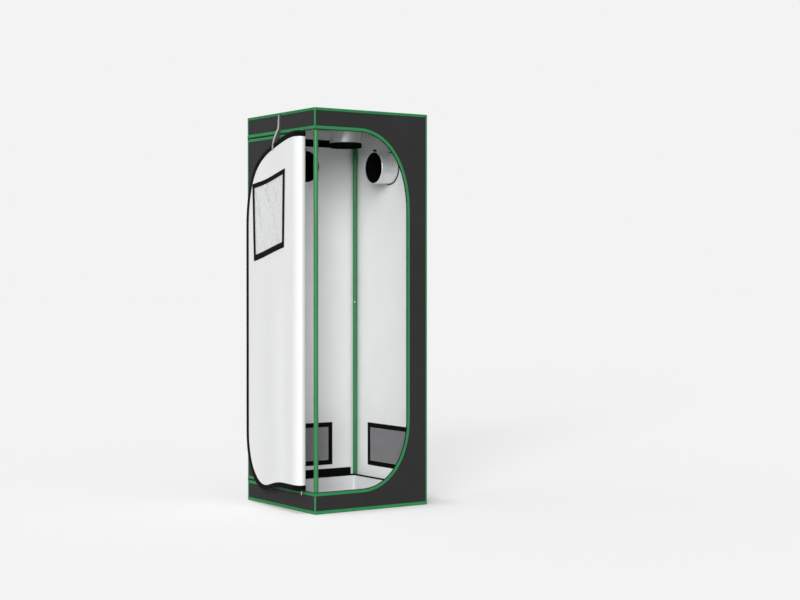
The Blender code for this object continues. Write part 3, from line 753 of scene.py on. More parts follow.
class Piece:
    """Points, faces, cloth coordinates and finishes of one piece, gathered before it is made."""

    def __init__(self, name, *names):
        self.name = name
        self.names = names
        self.points, self.faces, self.spots, self.numbers = [], [], [], []

    def take(self, points, faces, spots, numbers):
        first = len(self.points)
        self.points += points
        self.spots += spots
        self.faces += [tuple(first + i for i in face) for face in faces]
        self.numbers += [numbers] * len(faces) if isinstance(numbers, int) else numbers
        return self

    def sheet(self, surface, outline, holes, spacing, thickness=CLOTH, middle=0.0, inner=1):
        """Cloth with both of its faces and its cut edge, laid on a surface."""
        spots, triangles = filled(outline, holes, spacing)
        count = len(spots)
        points = [surface(x, y, middle + thickness / 2) for x, y in spots]
        points += [surface(x, y, middle - thickness / 2) for x, y in spots]
        edges = {(face[i], face[(i + 1) % 3]) for face in triangles for i in range(3)}
        rim = [(b, a, a + count, b + count) for a, b in edges if (b, a) not in edges]
        back = [(c + count, b + count, a + count) for a, b, c in triangles]
        numbers = [0] * len(triangles) + [inner] * len(back) + [0] * len(rim)
        return self.take(points, [*triangles, *back, *rim], spots + spots, numbers)

    def swept(self, sections, closed=False, number=0, numbers=None):
        """A solid through these cross-sections, each a closed loop of points. Cloth x runs along it."""
        size = len(sections[0])
        middles = [sum(section, Vector()) / size for section in sections]
        along = [0.0]
        for a, b in zip(middles, middles[1:]):
            along.append(along[-1] + (b - a).length)
        around = [0.0]
        for a, b in zip(sections[0], sections[0][1:]):
            around.append(around[-1] + (b - a).length)
        spots = [(x, y) for x in along for y in around]
        points = [point for section in sections for point in section]
        faces, kinds = [], []
        last = len(sections) if closed else len(sections) - 1
        for j in range(last):
            here, there = j * size, (j + 1) % len(sections) * size
            for k in range(size):
                m = (k + 1) % size
                faces.append((here + k, there + k, there + m, here + m))
                kinds.append(numbers[k] if numbers else number)
        if not closed:
            faces += [tuple(range(size)), tuple(range(len(points) - 1, len(points) - size - 1, -1))]
            kinds += [number, number]
        return self.take(points, faces, spots, kinds)

    def band(self, surface, rows, tops, base, closed=False, number=0):
        """A strip on a surface between rows of matching points, with the height of each row and its base."""
        sections = []
        for spots in zip(*rows):
            upper = [surface(*spot, top) for spot, top in zip(spots, tops)]
            under = [surface(*spots[-1], base), surface(*spots[0], base)]
            sections.append(upper + under)
        return self.swept(sections, closed, number)

    def tube(self, path, radius, sides, closed=False):
        """A round cord along a path."""
        path = [Vector(point) for point in path]
        count = len(path)
        sections = []
        side = None
        for i, point in enumerate(path):
            before = path[i - 1] if i or closed else path[0]
            after = path[(i + 1) % count] if i + 1 < count or closed else path[-1]
            way = (after - before).normalized()
            if side is None:
                side = way.orthogonal()
            side = (side - way * side.dot(way)).normalized()
            across = way.cross(side)
            turns = (2 * math.pi * k / sides for k in range(sides))
            sections.append([point + (side * math.cos(t) + across * math.sin(t)) * radius for t in turns])
        return self.swept(sections, closed)

    def made(self, slot, sharp=35.0):
        """The finished mesh object, smooth but for edges sharper than this angle."""
        mesh = bpy.data.meshes.new(self.name)
        mesh.from_pydata([tuple(point) for point in self.points], [], self.faces)
        layer = mesh.uv_layers.new(name=COORDINATES)
        corners = np.array([self.spots[loop.vertex_index] for loop in mesh.loops], np.float32)
        layer.data.foreach_set("uv", corners.ravel())
        known = finishes()
        for name in self.names:
            mesh.materials.append(known[name])
        mesh.polygons.foreach_set("material_index", self.numbers)
        mesh.validate()
        outward(mesh)
        mesh.shade_smooth()
        mesh.set_sharp_from_angle(angle=math.radians(sharp))
        obj = bpy.data.objects.new(self.name, mesh)
        bpy.context.scene.collection.objects.link(obj)
        return obj

    def carried(self, body, slot, node=None, sharp=35.0):
        """The finished mesh object, moved by a body and standing for one of the model's nodes."""
        made = self.made(slot, sharp)
        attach(made, body)
        if node:
            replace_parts(made, node)
        return made


def outward(mesh):
    """Turns every face of a closed mesh outwards."""
    shape = bmesh.new()
    shape.from_mesh(mesh)
    bmesh.ops.recalc_face_normals(shape, faces=shape.faces)
    shape.to_mesh(mesh)
    shape.free()


def crown(width, height, count=5):
    """Offsets across a tape of this width and the heights of its rounded top."""
    shares = [i / (count - 1) for i in range(count)]
    tops = [height * (0.55 + 0.45 * math.sin(math.pi * share)) for share in shares]
    return [width * share for share in shares], tops


# Cover


def make_cover():
    """Roof, floor, walls, valances and skirts as stretched cloth."""
    spacing = bpy.context.scene.grow_tent_sizes.spacing
    square = rectangle(-CLOTH_EDGE, CLOTH_EDGE, -CLOTH_EDGE, CLOTH_EDGE)
    hole = SLEEVE_RADIUS - SLEEVE_CLOTH
    side = 2 * CLOTH_EDGE
    bore = math.pi * hole**2
    vent = (VENT_SIZE[0] - 2 * VENT_BINDING) * (VENT_SIZE[1] - 2 * VENT_BINDING)
    tall = WALL_TOP - WALL_BOTTOM

    def hang(name, surface, outline, holes, flat, area=None):
        piece = Piece(f"{name}_cloth", "outer cloth", "silver lining").sheet(surface, outline, holes, spacing)
        piece.carried("tent", "outer_cloth", name)

    hang("roof_panel", roof, square, [circle(ROOF_SLEEVE[0], hole)], (side, side), side**2 - bore)
    hang("floor_panel", floor, square, [], (side, side))
    left = -CLOTH_EDGE
    edge = doorway(TAPE_HALF, left)
    outline = [*rectangle(left, CLOTH_EDGE, WALL_BOTTOM, WALL_TOP), *edge]
    area = max(side * tall - polygon_area(edge), LEAST_AREA * side * tall)
    hang("front_surround", cover, outline, [], (side, tall), area)
    inset = DOOR_TAPE_INSETS[0]
    for name, right, holes, cut in (
        ("left", LEFT_PANEL_END, [], 0.0),
        ("back", CLOTH_EDGE, wall_holes("back", BACK_SLEEVE), bore + vent),
    ):
        middle = WALL_MIDDLE[name]
        ends = (middle - CLOTH_EDGE, middle + CLOTH_EDGE)
        low, high = ZIP_BOTTOM + inset, ZIP_TOP - inset
        strip = WALL_TOP - ZIP_TOP + TAPE_HALF
        head = rectangle(*ends, ZIP_TOP - TAPE_HALF, WALL_TOP)
        foot = rectangle(*ends, WALL_BOTTOM, ZIP_BOTTOM + TAPE_HALF)
        if name == "back":
            step = middle - BACK_ZIP_END
            head = [(ends[0], high), (step, high), (step, head[0][1]), *head[1:]]
            foot = [*foot[:3], (step, foot[2][1]), (step, low), (ends[0], low)]
        hang(f"{name}_valance", cover, head, [], (side, strip))
        hang(f"{name}_skirt", cover, foot, [], (side, ZIP_BOTTOM + TAPE_HALF - WALL_BOTTOM))
        width = CLOTH_EDGE + right
        outline = rectangle(ends[0], middle + right, low, high)
        area = width * (high - low) - cut
        hang(f"{name}_door_panel", cover, outline, holes, (width, high - low), area)
    middle = WALL_MIDDLE["right"]
    outline = rectangle(middle - CLOTH_EDGE, middle + CLOTH_EDGE, WALL_BOTTOM, WALL_TOP)
    holes = wall_holes("right", RIGHT_SLEEVE)
    hang("right_wall", cover, outline, holes, (side, tall), side * tall - bore - vent)


def polygon_area(loop):
    return abs(sum(ax * by - bx * ay for (ax, ay), (bx, by) in zip(loop, loop[1:] + loop[:1]))) / 2


def wall_holes(name, sleeve):
    middle = WALL_MIDDLE[name]
    (a, z), _ = sleeve
    round_hole = circle((middle + a, z), SLEEVE_RADIUS - SLEEVE_CLOTH)
    left, right, low, high = grown((*VENTS[name], *VENT_Z), -VENT_BINDING)
    return [round_hole, rectangle(middle + left, middle + right, low, high)]


def make_piping():
    """Stitched green piping along the cover's edges."""
    level = finer(rounded_square(HALF, PIPING_CORNER, 6), 0.02)
    reach = HALF - PIPING_CORNER * (1 - math.sqrt(0.5))
    below = ZIP_BOTTOM - TAPE_HALF - PIPING_BREAK
    above = ZIP_TOP + TAPE_HALF + PIPING_BREAK
    whole = [(LOW_PIPING_Z, ROOF_Z)]
    parted = [(LOW_PIPING_Z, below), (above, ROOF_Z)]
    piece = Piece("edge_piping_cloth", "green piping")
    for z in (LOW_PIPING_Z, ROOF_Z):
        piece.tube([(x, y, z) for x, y in level], PIPING_RADIUS, 12, closed=True)
    around = finer([(q, 0.0) for q in (-1.5, -0.9, -0.3, 0.3, 0.9)], 0.03, False)[:-1]
    for low, high in PIPING_FLANGES:
        offsets, tops = crown(high - low, 0.0009)
        rows = [[(q, low + offset) for q, _ in around] for offset in offsets]
        piece.band(cover, rows, [SKIN + top for top in tops], SKIN, closed=True)
    for x, y, stretches in ((-1, -1, parted), (1, -1, whole), (1, 1, whole), (-1, 1, parted)):
        for low, high in stretches:
            piece.tube(upright_path(x * reach, y * reach, low, high), PIPING_RADIUS, 12)
    piece.carried("tent", "green_trim", "edge_piping")
    inset = DOOR_TAPE_INSETS[1] + PIPING_BREAK
    path = upright_path(-reach, reach, ZIP_BOTTOM + inset, ZIP_TOP - inset)
    piece = Piece("back_left_piping_cloth", "green piping").tube(path, PIPING_RADIUS, 12)
    piece.carried("tent", "green_trim", "edge_piping_back_left")


def upright_path(x, y, low, high):
    """Points up an edge of the cover."""
    count = max(2, round((high - low) / 0.04))
    return [(x, y, low + (high - low) * i / count) for i in range(count + 1)]


# Zips


def taped(piece, path, insets, base, height, count=5):
    """A tape on the cover with a rounded top, between two insets of a path that takes an inset."""
    outer, inner = insets
    offsets, tops = crown(inner - outer, height, count)
    rows = [path(outer + offset) for offset in offsets]
    piece.band(cover, rows, [base + top for top in tops], base)


def make_zips():
    """Green tapes and coils of both zip lines, round the doorway and along the left side and back."""
    end = WALL_MIDDLE["back"] - BACK_ZIP_END
    tape = Piece("zip_tape_cover_cloth", "green tape")
    taped(tape, lambda inset: doorway(inset, end), (-TAPE_HALF, TAPE_HALF), SKIN, TAPE)
    tape.carried("tent", "green_trim", "zip_tape_cover")
    low, high = TEETH_INSETS
    outer, inner, middle = low - 0.0012, high + 0.0012, (low + high) / 2
    coil = Piece("zip_coil", "zip coil")
    half = (outer, middle - 0.0004)
    taped(coil, lambda inset: doorway(inset, DOOR_SEAM), half, COIL_BASE, COIL_HEIGHT, 6)
    for top in (True, False):
        run = partial(zip_run, start=end, end=DOOR_SEAM, top=top)
        taped(coil, run, (outer, inner), COIL_BASE, COIL_HEIGHT, 9)
    coil.carried("tent", "zip_teeth", "zip_teeth")
    for name, top in (("upper", True), ("lower", False)):
        tape = Piece(f"zip_tape_panel_{name}_cloth", "green tape")
        run = partial(zip_run, start=end, end=DOOR_SEAM - 0.002, top=top)
        taped(tape, run, DOOR_TAPE_INSETS, SKIN, TAPE)
        tape.carried("tent", "green_trim", f"zip_tape_panel_{name}")
    lap = Piece("inner_zip_tape", "black cloth")
    for top in (True, False):
        run = partial(zip_run, start=end, end=DOOR_SEAM, top=top)
        taped(lap, run, (-0.004, 0.031), -SKIN - 0.0010, 0.0008)
    lap.carried("tent", "black_tape")


def zip_run(inset, start, end, top):
    """A straight run of a zip line along the back and left side."""
    z = ZIP_TOP - inset if top else ZIP_BOTTOM + inset
    stops = [start, *(q for q in (BACK_LEFT_CORNER, NEAR_CORNER) if start < q < end), end]
    return [(q, z) for q in [*stepped(stops), end]]


# Door

SECTIONS = (
    ("door_fold_1", 0.0, 0.020, "tent", "door_strip_1"),
    ("door_fold_2", 0.020, 0.055, "door_strip_1", "door_strip_2"),
    ("door_fold_3", 0.055, 0.0875, "door_strip_2", "door_strip_3"),
    ("door_panel_near", 0.0875, 0.115, "door_strip_3", "door_near"),
    ("door_panel_far", 0.115, DOOR_END, "door_near", "door_far"),
)


# The outer and inner inset, base and height of the door's hem, tape and coil
DOOR_TRIMS = (
    (DOOR_INSET - 0.0004, DOOR_HEM_INSET, -SKIN, -0.0008),
    (DOOR_INSET, DOOR_TAPE_INSETS[1], SKIN, TAPE),
    (0.0112, 0.0152, -0.0008, 0.0020),
)


def bend_with(obj, start, end, second):
    """Bakes a door section's transform into its mesh."""
    if second == "door_far":
        return sag_with(obj)
    ends = [(*door_plan(u, 0.9), 0.9) for u in (start, end)]
    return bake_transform(obj)


def sag_with(obj):
    """Bakes a piece's transform into its mesh."""
    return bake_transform(obj)


def door_edge(inset, start):
    """The door's edge from u = start along its top, round and back below."""
    return [(q - DOOR_SEAM, z) for q, z in doorway(inset, start + DOOR_SEAM)]


def level_rows(start, end, top, insets):
    """Matching rows of points along the door's top or bottom edge, at these insets."""
    count = max(2, math.ceil((end - start) / 0.006))
    run = [start + (end - start) * i / count for i in range(count + 1)]
    return [[(u, ZIP_TOP - inset if top else ZIP_BOTTOM + inset) for u in run] for inset in insets]


def window_area():
    """The window in the door's cloth coordinates, level while the door is zipped."""
    left, right, low, high = WINDOW
    return (left + FOLDS[3], right + FOLDS[3], low + WINDOW_SAG, high + WINDOW_SAG)


def window_opening(left, right, low, high):
    """What the window's frame leaves open of this area."""
    side, far, below, above = WINDOW_FRAME
    return (left + side, right - far, low + below, high - above)


def window_place(u, z):
    """Where a spot of the level window lies, so that its sides look nearly straight on the open door."""
    left, right, low, high = window_area()
    middle = (low + high) / 2
    spots = [PLAN[3] + WAYS[3] * (at - FOLDS[3]) for at in (left, u, right)]
    first, here, last = (sag_share(Vector((*spot, middle))) for spot in spots)
    across = (u - left) / (right - left)
    rise = DOOR_SAG * (here - first - (last - first) * across)
    lean = WINDOW_LEAN[0] * (1 - across) + WINDOW_LEAN[1] * across
    return u + lean * (z - middle) / (high - low), z + WINDOW_RISE * rise


def make_door():
    """The folded door: cloth, black hem, coil and green tape, section by section."""
    fine = bpy.context.scene.grow_tent_sizes.door_spacing
    clear = finer(rectangle(*window_opening(*window_area())), 0.012)
    clear = [window_place(*spot) for spot in clear]
    top, bottom = ZIP_TOP - DOOR_INSET, ZIP_BOTTOM + DOOR_INSET
    for name, start, end, first, second in SECTIONS:
        wide = second == "door_far"
        outline = door_edge(DOOR_INSET, start) if wide else rectangle(start, end, bottom, top)
        holes = [clear] if wide else []
        cloth = Piece(f"{name}_cloth", "outer cloth", "silver lining")
        cloth.sheet(door, outline, holes, fine if wide else 0.005)
        made = cloth.made("outer_cloth")
        bend_with(made, start, end, second)
        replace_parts(made, name)
        area = polygon_area(outline) - sum(polygon_area(hole) for hole in holes)
        trim = Piece(f"{name}_hem", "black hem", "green tape", "zip coil")
        for number, (outer, inner, base, height) in enumerate(DOOR_TRIMS):
            offsets, tops = crown(inner - outer, height)
            insets = [outer + offset for offset in offsets]
            edges = [level_rows(start, end, upper, insets) for upper in (True, False)]
            if wide:
                edges = [[door_edge(inset, start) for inset in insets]]
            for rows in edges:
                trim.band(door, rows, [base + level for level in tops], base, number=number)
        made = trim.made("black_tape")
        bend_with(made, start, end, second)
        if wide:
            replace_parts(made, "door_zip_edge")
    seam = Piece("door_side_seam", "black hem")
    heights = [bottom + (top - bottom) * i / 60 for i in range(61)]
    rows = [[(DOOR_SEAM + u, z) for z in heights] for u in (-0.006, -0.003, 0.0, 0.003)]
    seam.band(cover, rows, [-SKIN - 0.0008] * 4, -SKIN)
    seam.carried("tent", "black_tape")


def framed(piece, surface, area, widths, base, height, number=0):
    """A mitred band round a rectangle, with the width of each of its sides: left, right, below, above."""
    left, right, low, high = area
    rows, tops = [], []
    for share, level in zip((0.0, 0.06, 0.5, 0.94, 1.0), (0.45, 0.9, 1.0, 0.9, 0.45)):
        side, far, below, above = (width * share for width in widths)
        corners = rectangle(left + side, right - far, low + below, high - above)
        counts = [max(2, round(size / 0.012)) for size in (right - left, high - low)] * 2
        row = []
        for (ax, ay), (bx, by), count in zip(corners, corners[1:] + corners[:1], counts):
            row += [(ax + (bx - ax) * i / count, ay + (by - ay) * i / count) for i in range(count)]
        rows.append(row)
        tops.append(base + height * level)
    piece.band(surface, rows, tops, base, closed=True, number=number)


def make_window():
    """The door's window: wrinkled film, mitred black frame, and the cover on the dark side."""
    area = window_area()
    left, right, low, high = area
    side, far, below, above = WINDOW_FRAME
    opening = window_opening(*area)
    edge = rectangle(*((outer + inner) / 2 for outer, inner in zip(area, opening)))

    def hung(u, z, n):
        return door(*window_place(u, z), n)

    def wrinkled(u, z, n):
        free = smooth(min(u - opening[0], opening[1] - u, z - opening[2], opening[3] - z), 0.0, 0.035)
        drift = noise.noise(Vector((u * 5.0, z * 4.0, 2.0))) * 0.030
        across = (u - left) * 0.90 - (z - low) * 0.42 + drift
        ridge = 0.5 + 0.5 * math.cos(across * 92)
        tone = smooth(noise.noise(Vector((across * 9.0, z * 2.5, 6.0))), -0.35, 0.35)
        soft = 0.5 + 0.5 * noise.noise(Vector((u * 11.0, z * 9.0, 8.0)))
        return hung(u, z, n - 0.0024 * (0.65 * ridge * tone + 0.35 * soft) * free)

    pane = Piece("door_window_film_sheet", "window film")
    pane.sheet(wrinkled, edge, [], 0.006, 0.0004, -SKIN - 0.0004, inner=0)
    made = sag_with(pane.made("window_film", 60))
    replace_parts(made, "door_window_film")
    size = (right - left - side, high - low - (below + above) / 2)
    band = Piece("door_window_frame_tape", "black binding")
    widths = (side + 0.008, far + 0.008, below + 0.005, above + 0.005)
    framed(band, hung, grown(area, 0.004), widths, -SKIN - TAPE - GAP, -0.0012)
    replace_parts(sag_with(band.made("black_tape")), "door_window_frame")
    wide = grown(area, WINDOW_COVER_MARGIN)
    flap = Piece("door_window_cover_cloth", "outer cloth", "silver lining", "black binding")
    flap.sheet(hung, rectangle(*wide), [], 0.012, CLOTH, SKIN + CLOTH / 2)
    framed(flap, hung, grown(wide, 0.001), (0.014,) * 4, SKIN + CLOTH, 0.0010, number=2)
    made = sag_with(flap.made("outer_cloth"))
    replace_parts(made, "door_window_cover")
    wide[1] - wide[0]
    wide[3] - wide[2]


# Hold-back strap


def strap_line():
    """A smooth line through the strap's route, as (distance from the wall, z)."""
    spots = [Vector(spot) for spot in STRAP_ROUTE]
    line = []
    for before, a, b, after in zip([spots[0], *spots], spots, spots[1:], [*spots[2:], spots[-1]]):
        count = max(2, math.ceil((b - a).length / 0.004))
        for k in range(count):
            line.append(curve(a, b, (b - before) * 0.5, (after - a) * 0.5, k / count))
    return [*line, spots[-1]]


# The strap's cross-section as shares of half its width and half its thickness, and which of its faces carry
# the painted highlight of its lit edge
STRAP_SECTION = (
    *((-1, -0.5), (-0.9, -1), (0.3, -1), (0.9, -1), (1, -0.5)),
    *((1, 0.5), (0.9, 1), (-0.9, 1), (-1, 0.5)),
)
STRAP_FINISHES = [0, 0, 1, 1, 1, 0, 0, 0, 0]
STRAP_TWIST = -50


def strap_sections():
    """Cross-sections of the strap down the left side, which twists along its length."""
    line = strap_line()
    half, thick = STRAP_WIDTH / 2, STRAP_CLOTH / 2
    sections = []
    for i, spot in enumerate(line):
        before, after = line[max(i - 1, 0)], line[min(i + 1, len(line) - 1)]
        way = (after - before).normalized()
        along = Vector((-way.x, 0, way.y))
        face = Vector((-way.y, 0, -way.x))
        twist = STRAP_TWIST * math.sin(math.pi * (i / (len(line) - 1))) ** 0.8
        turn = Matrix.Rotation(math.radians(twist), 3, along)
        across, face = turn @ Vector((0, 1, 0)), turn @ face
        middle = Vector((-HALF - spot.x, 0, spot.y))
        sections.append([middle + across * half * x + face * thick * y for x, y in STRAP_SECTION])
    return sections


def make_strap():
    """The hold-back strap from the roof's edge, and its tab on the door's upper edge."""
    # Faces marked 1 get the painted highlight, a light grey standing in for the strap's lit edge
    strap = Piece("hold_back_strap_webbing", "webbing", "webbing painted highlight")
    strap.swept(strap_sections(), numbers=STRAP_FINISHES)
    strap.carried("strap", "webbing", "hold_back_strap")
    left, right = STRAP_TAB
    low = ZIP_TOP - DOOR_INSET + 0.001 - STRAP_TAB_LENGTH
    # The tab is all in the light grey of the strap's painted highlight
    tab = Piece("strap_tab", "webbing painted highlight")
    rows = [
        [(u + FOLDS[3], low + STRAP_TAB_LENGTH * i / 10) for i in range(11)]
        for u in (left, left + 0.001, (left + right) / 2, right - 0.001, right)
    ]
    levels = [-SKIN - 0.0016 - rise for rise in (0.0006, 0.0012, 0.0013, 0.0012, 0.0006)]
    tab.band(door, rows, levels, -SKIN - 0.0013)
    sag_with(tab.made("webbing"))


# Vents


def make_vents():
    """Net, black binding and outer cover flap of both vents."""
    level = -SKIN - 0.0002
    out = CLOTH + 0.0004
    for name, span in VENTS.items():
        middle = WALL_MIDDLE[name]
        area = (middle + span[0], middle + span[1], *VENT_Z)
        inner = grown(area, -VENT_MESH_MARGIN)
        sheet = Piece(f"vent_net_{name}", "vent net")
        sheet.sheet(cover, rectangle(*inner), [], 0.012, 0.0003, level, inner=0)
        made = sheet.carried("tent", "white_mesh", f"vent_mesh_{name}")
        inner[1] - inner[0]
        inner[3] - inner[2]
        band = Piece(f"vent_binding_{name}_tape", "black binding")
        framed(band, cover, area, (VENT_BINDING,) * 4, level - 0.0003, -0.0016)
        band.carried("tent", "black_tape", f"vent_binding_{name}")
        left, right, low, high = grown(area, VENT_COVER_MARGIN)
        flap = Piece(f"vent_cover_{name}_cloth", "outer cloth", "silver lining", "black binding")
        flap.sheet(cover, rectangle(left, right, low, high - 0.0005), [], 0.015, CLOTH, out)
        edge = (left - 0.001, right + 0.001, low - 0.001, high - 0.0018)
        framed(flap, cover, edge, (0.013,) * 4, out + CLOTH / 2 - 0.0002, 0.0012, number=2)
        made = flap.carried(f"{name}_vent_cover", "outer_cloth", f"vent_cover_{name}")
        right - left
        high - low


# Duct sleeves


def make_sleeves():
    """Gathered duct sleeves, silver outside and black inside, each with its hem and draw cord lock."""
    places = (
        ("right", wall_place("right", RIGHT_SLEEVE[0]), RIGHT_SLEEVE[1], "right_wall_cloth"),
        ("back", wall_place("back", BACK_SLEEVE[0]), BACK_SLEEVE[1], "back_door_panel_cloth"),
        ("roof", Matrix.Translation((*ROOF_SLEEVE[0], ROOF_Z)), ROOF_SLEEVE[1], "roof_panel_cloth"),
    )
    for index, (name, place, depth, wall) in enumerate(places):
        piece = Piece(f"duct_sleeve_{name}_cloth", "silver foil", "black cloth", "black binding")
        sections, kinds = sleeve_sections(place, depth, index, name == "right")
        piece.swept(sections, closed=True, numbers=kinds)
        made = piece.carried("tent", "lining", f"duct_sleeve_{name}", 50)
        shut = Piece(f"duct_sleeve_{name}_drawn_end", "black cloth")
        edge = circle((0, 0), SLEEVE_RADIUS - 0.0022, 96)
        shut.sheet(lambda x, y, n: place @ drawn_end(x, y, n), edge, [], 0.0045, 0.0008, inner=0)
        shut.carried("tent", "black_tape", sharp=60)
        ring = Piece(f"duct_sleeve_{name}_seam", "black binding")
        edge = circle((0, 0), SLEEVE_RADIUS + 0.0012, 56)
        ring.tube([place @ Vector((*spot, -SKIN - 0.0012)) for spot in edge], 0.0016, 8, closed=True)
        ring.carried("tent", "black_tape")


def drawn_end(x, y, n):
    """The black inner cloth of a sleeve, drawn shut in pleats at the wall's outer face."""
    r, turn = math.hypot(x, y), math.atan2(y, x)
    share = 1 - r / SLEEVE_RADIUS
    depth = 0.0016 * smooth(share, 0.02, 0.25) * smooth(r, 0.002, 0.014)
    pleats = math.sin(26 * turn + 1.5 * math.sin(3 * turn)) * depth
    knot = 0.0045 * (1 - smooth(r, 0.0, 0.012))
    return Vector((x, y, n - 0.0016 + 0.0050 * smooth(share, 0.0, 0.8) * (1 - 0.5 * share) + pleats + knot))


def wall_place(name, spot):
    """A place on a wall: x to the right, y up and z outwards."""
    turn = Matrix.Rotation(math.radians(WALLS[name][1]), 4, "Z")
    return turn @ Matrix.Translation((spot[0], -HALF, spot[1])) @ Matrix.Rotation(math.radians(90), 4, "X")


def sleeve_sections(place, depth, seed, light_rim):
    """Cross-sections round a sleeve, from the wall to its mouth and back inside, and their finishes."""
    count = 72
    thick = SLEEVE_CLOTH
    free = depth - SLEEVE_HEM
    outside = [(0.0, 0.0004)]
    outside += [(share * free, 0.0) for share in (0.06, 0.15, 0.28, 0.42, 0.56, 0.70, 0.84, 0.95)]
    outside += [(free, -0.0002), (free + 0.0015, 0.0007), (depth - SLEEVE_HEM * 0.5, 0.0010)]
    outside += [(depth - 0.0030, 0.0009), (depth - 0.0008, 0.0002), (depth, -0.0006)]
    inner = [(depth - 0.0006, -0.0014), (depth - 0.004, -thick), (free, -thick)]
    inner += [(share * free, -thick) for share in (0.84, 0.56, 0.28, 0.06)]
    inner += [(0.0, -thick)]
    sections = []
    for j in range(count):
        t = 2 * math.pi * j / count
        section = []
        for d, out in outside + inner:
            share = d / depth
            ripple = 0.0013 * math.sin(7 * t + seed + 4 * share) * math.sin(math.pi * min(share * 1.3, 1.0))
            sag = noise.noise(Vector((math.cos(t) * 1.6, math.sin(t) * 1.6, share * 2.5 + seed * 7))) * 0.0030
            gather = 0.0005 * math.sin(34 * t) * smooth(share, 0.65, 0.85)
            loose = smooth(share, 0.0, 0.2) * smooth(1.0 - share, 0.0, 0.25)
            r = SLEEVE_RADIUS - 0.0016 + out + (ripple + sag) * loose + gather
            spot = Vector((r * math.cos(t), r * math.sin(t), -SKIN - d * (depth - SKIN) / depth))
            section.append(place @ spot)
        sections.append(section)
    hemmed = len(outside) - 10
    kinds = [0] * 9 + [0 if light_rim else 2] * hemmed
    kinds += [0 if light_rim else 1] * 2 + [1] * (len(inner) - 1)
    return sections, kinds


# Floor tray


def facing(x, y):
    """The way outwards at a point of the tray's edge."""
    if abs(abs(x) - abs(y)) < 0.02:
        return Vector((x, y)).normalized()
    if abs(x) > abs(y):
        return Vector((math.copysign(1, x), 0))
    return Vector((0, math.copysign(1, y)))


def make_tray():
    """The lift-out floor tray: soft walls, flat floor and a bound rim."""
    low, high = TRAY_Z
    loop = finer(rounded_square(TRAY_HALF, TRAY_CORNER, 5), 2 * TRAY_HALF / 30)
    profile = [(low, 0.0035), (low + 0.001, 0.0008), (low + 0.004, 0.0)]
    profile += [(z, 0.0) for z in (0.030, 0.055, high)]
    profile += [(z, TRAY_CLOTH) for z in (high, 0.055, 0.030, low + 0.006)]
    profile += [(low + 0.002, 0.004)]
    sections = []
    for x, y in loop:
        ends = smooth(TRAY_HALF - min(abs(x), abs(y)), 0.0, 0.10)
        bulge = 0.0012 + 0.0024 * ends * noise.noise(Vector((x * 6, y * 6, 1.5)))
        section = []
        for z, inwards in profile:
            lean = bulge * math.sin(math.pi / 2 * (z - low) / (high - low)) if z > low + 0.005 else 0.0
            spot = Vector((x, y)) - facing(x, y) * (inwards + abs(lean))
            section.append(Vector((*spot, z)))
        sections.append(section)
    piece = Piece("floor_tray_cloth", "tray cloth").swept(sections, closed=True)
    reach = TRAY_HALF - 0.0025
    square = rectangle(-reach, reach, -reach, reach)
    piece.sheet(lambda a, b, n: Vector((a, b, low + 0.001 + n)), square, [], 0.03, 0.0012, inner=0)
    made = piece.carried("tray", "tray_cloth", "floor_tray", 40)
    low, high = TRAY_RIM_Z
    inner, outer = TRAY_RIM
    middle, half = (inner + outer) / 2, (outer - inner) / 2
    profile = [(1, low), (1, low + 0.004), (0.75, high - 0.0008), (0, high)]
    profile += [(-out, z) for out, z in reversed(profile[:3])]
    sections = []
    for x, y in loop:
        way = facing(x, y)
        base = Vector((x, y)) - way * (TRAY_HALF - middle)
        sections.append([Vector((*(base + way * half * out), z)) for out, z in profile])
    rim = Piece("floor_tray_rim_tape", "black binding").swept(sections, closed=True)
    rim.carried("tray", "black_tape", "floor_tray_rim")


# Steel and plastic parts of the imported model


def finish_carried():
    """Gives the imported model's own poles, bars, fittings and small hardware their finishes."""
    known = finishes()
    by_slot = {"green_steel": "green steel", "bright_steel": "bright steel", "black_plastic": "black plastic"}
    for part in frame["record"]["subparts"]:
        if part["material_slot"] in by_slot:
            dress(part["node"], known[by_slot[part["material_slot"]]])


def dress(node, material):
    mesh = frame["nodes"][node].data
    mesh.materials.clear()
    mesh.materials.append(material)
    mesh.shade_smooth()
    mesh.set_sharp_from_angle(angle=math.radians(40))


# Stage

FLOOR_REACH = 60.0
CAMERA_PLACE = (-4.0320, -6.4217, 1.0300)
CAMERA_TILT = -0.69
CAMERA_TURN = -34.35
CAMERA_LENS = 73.50


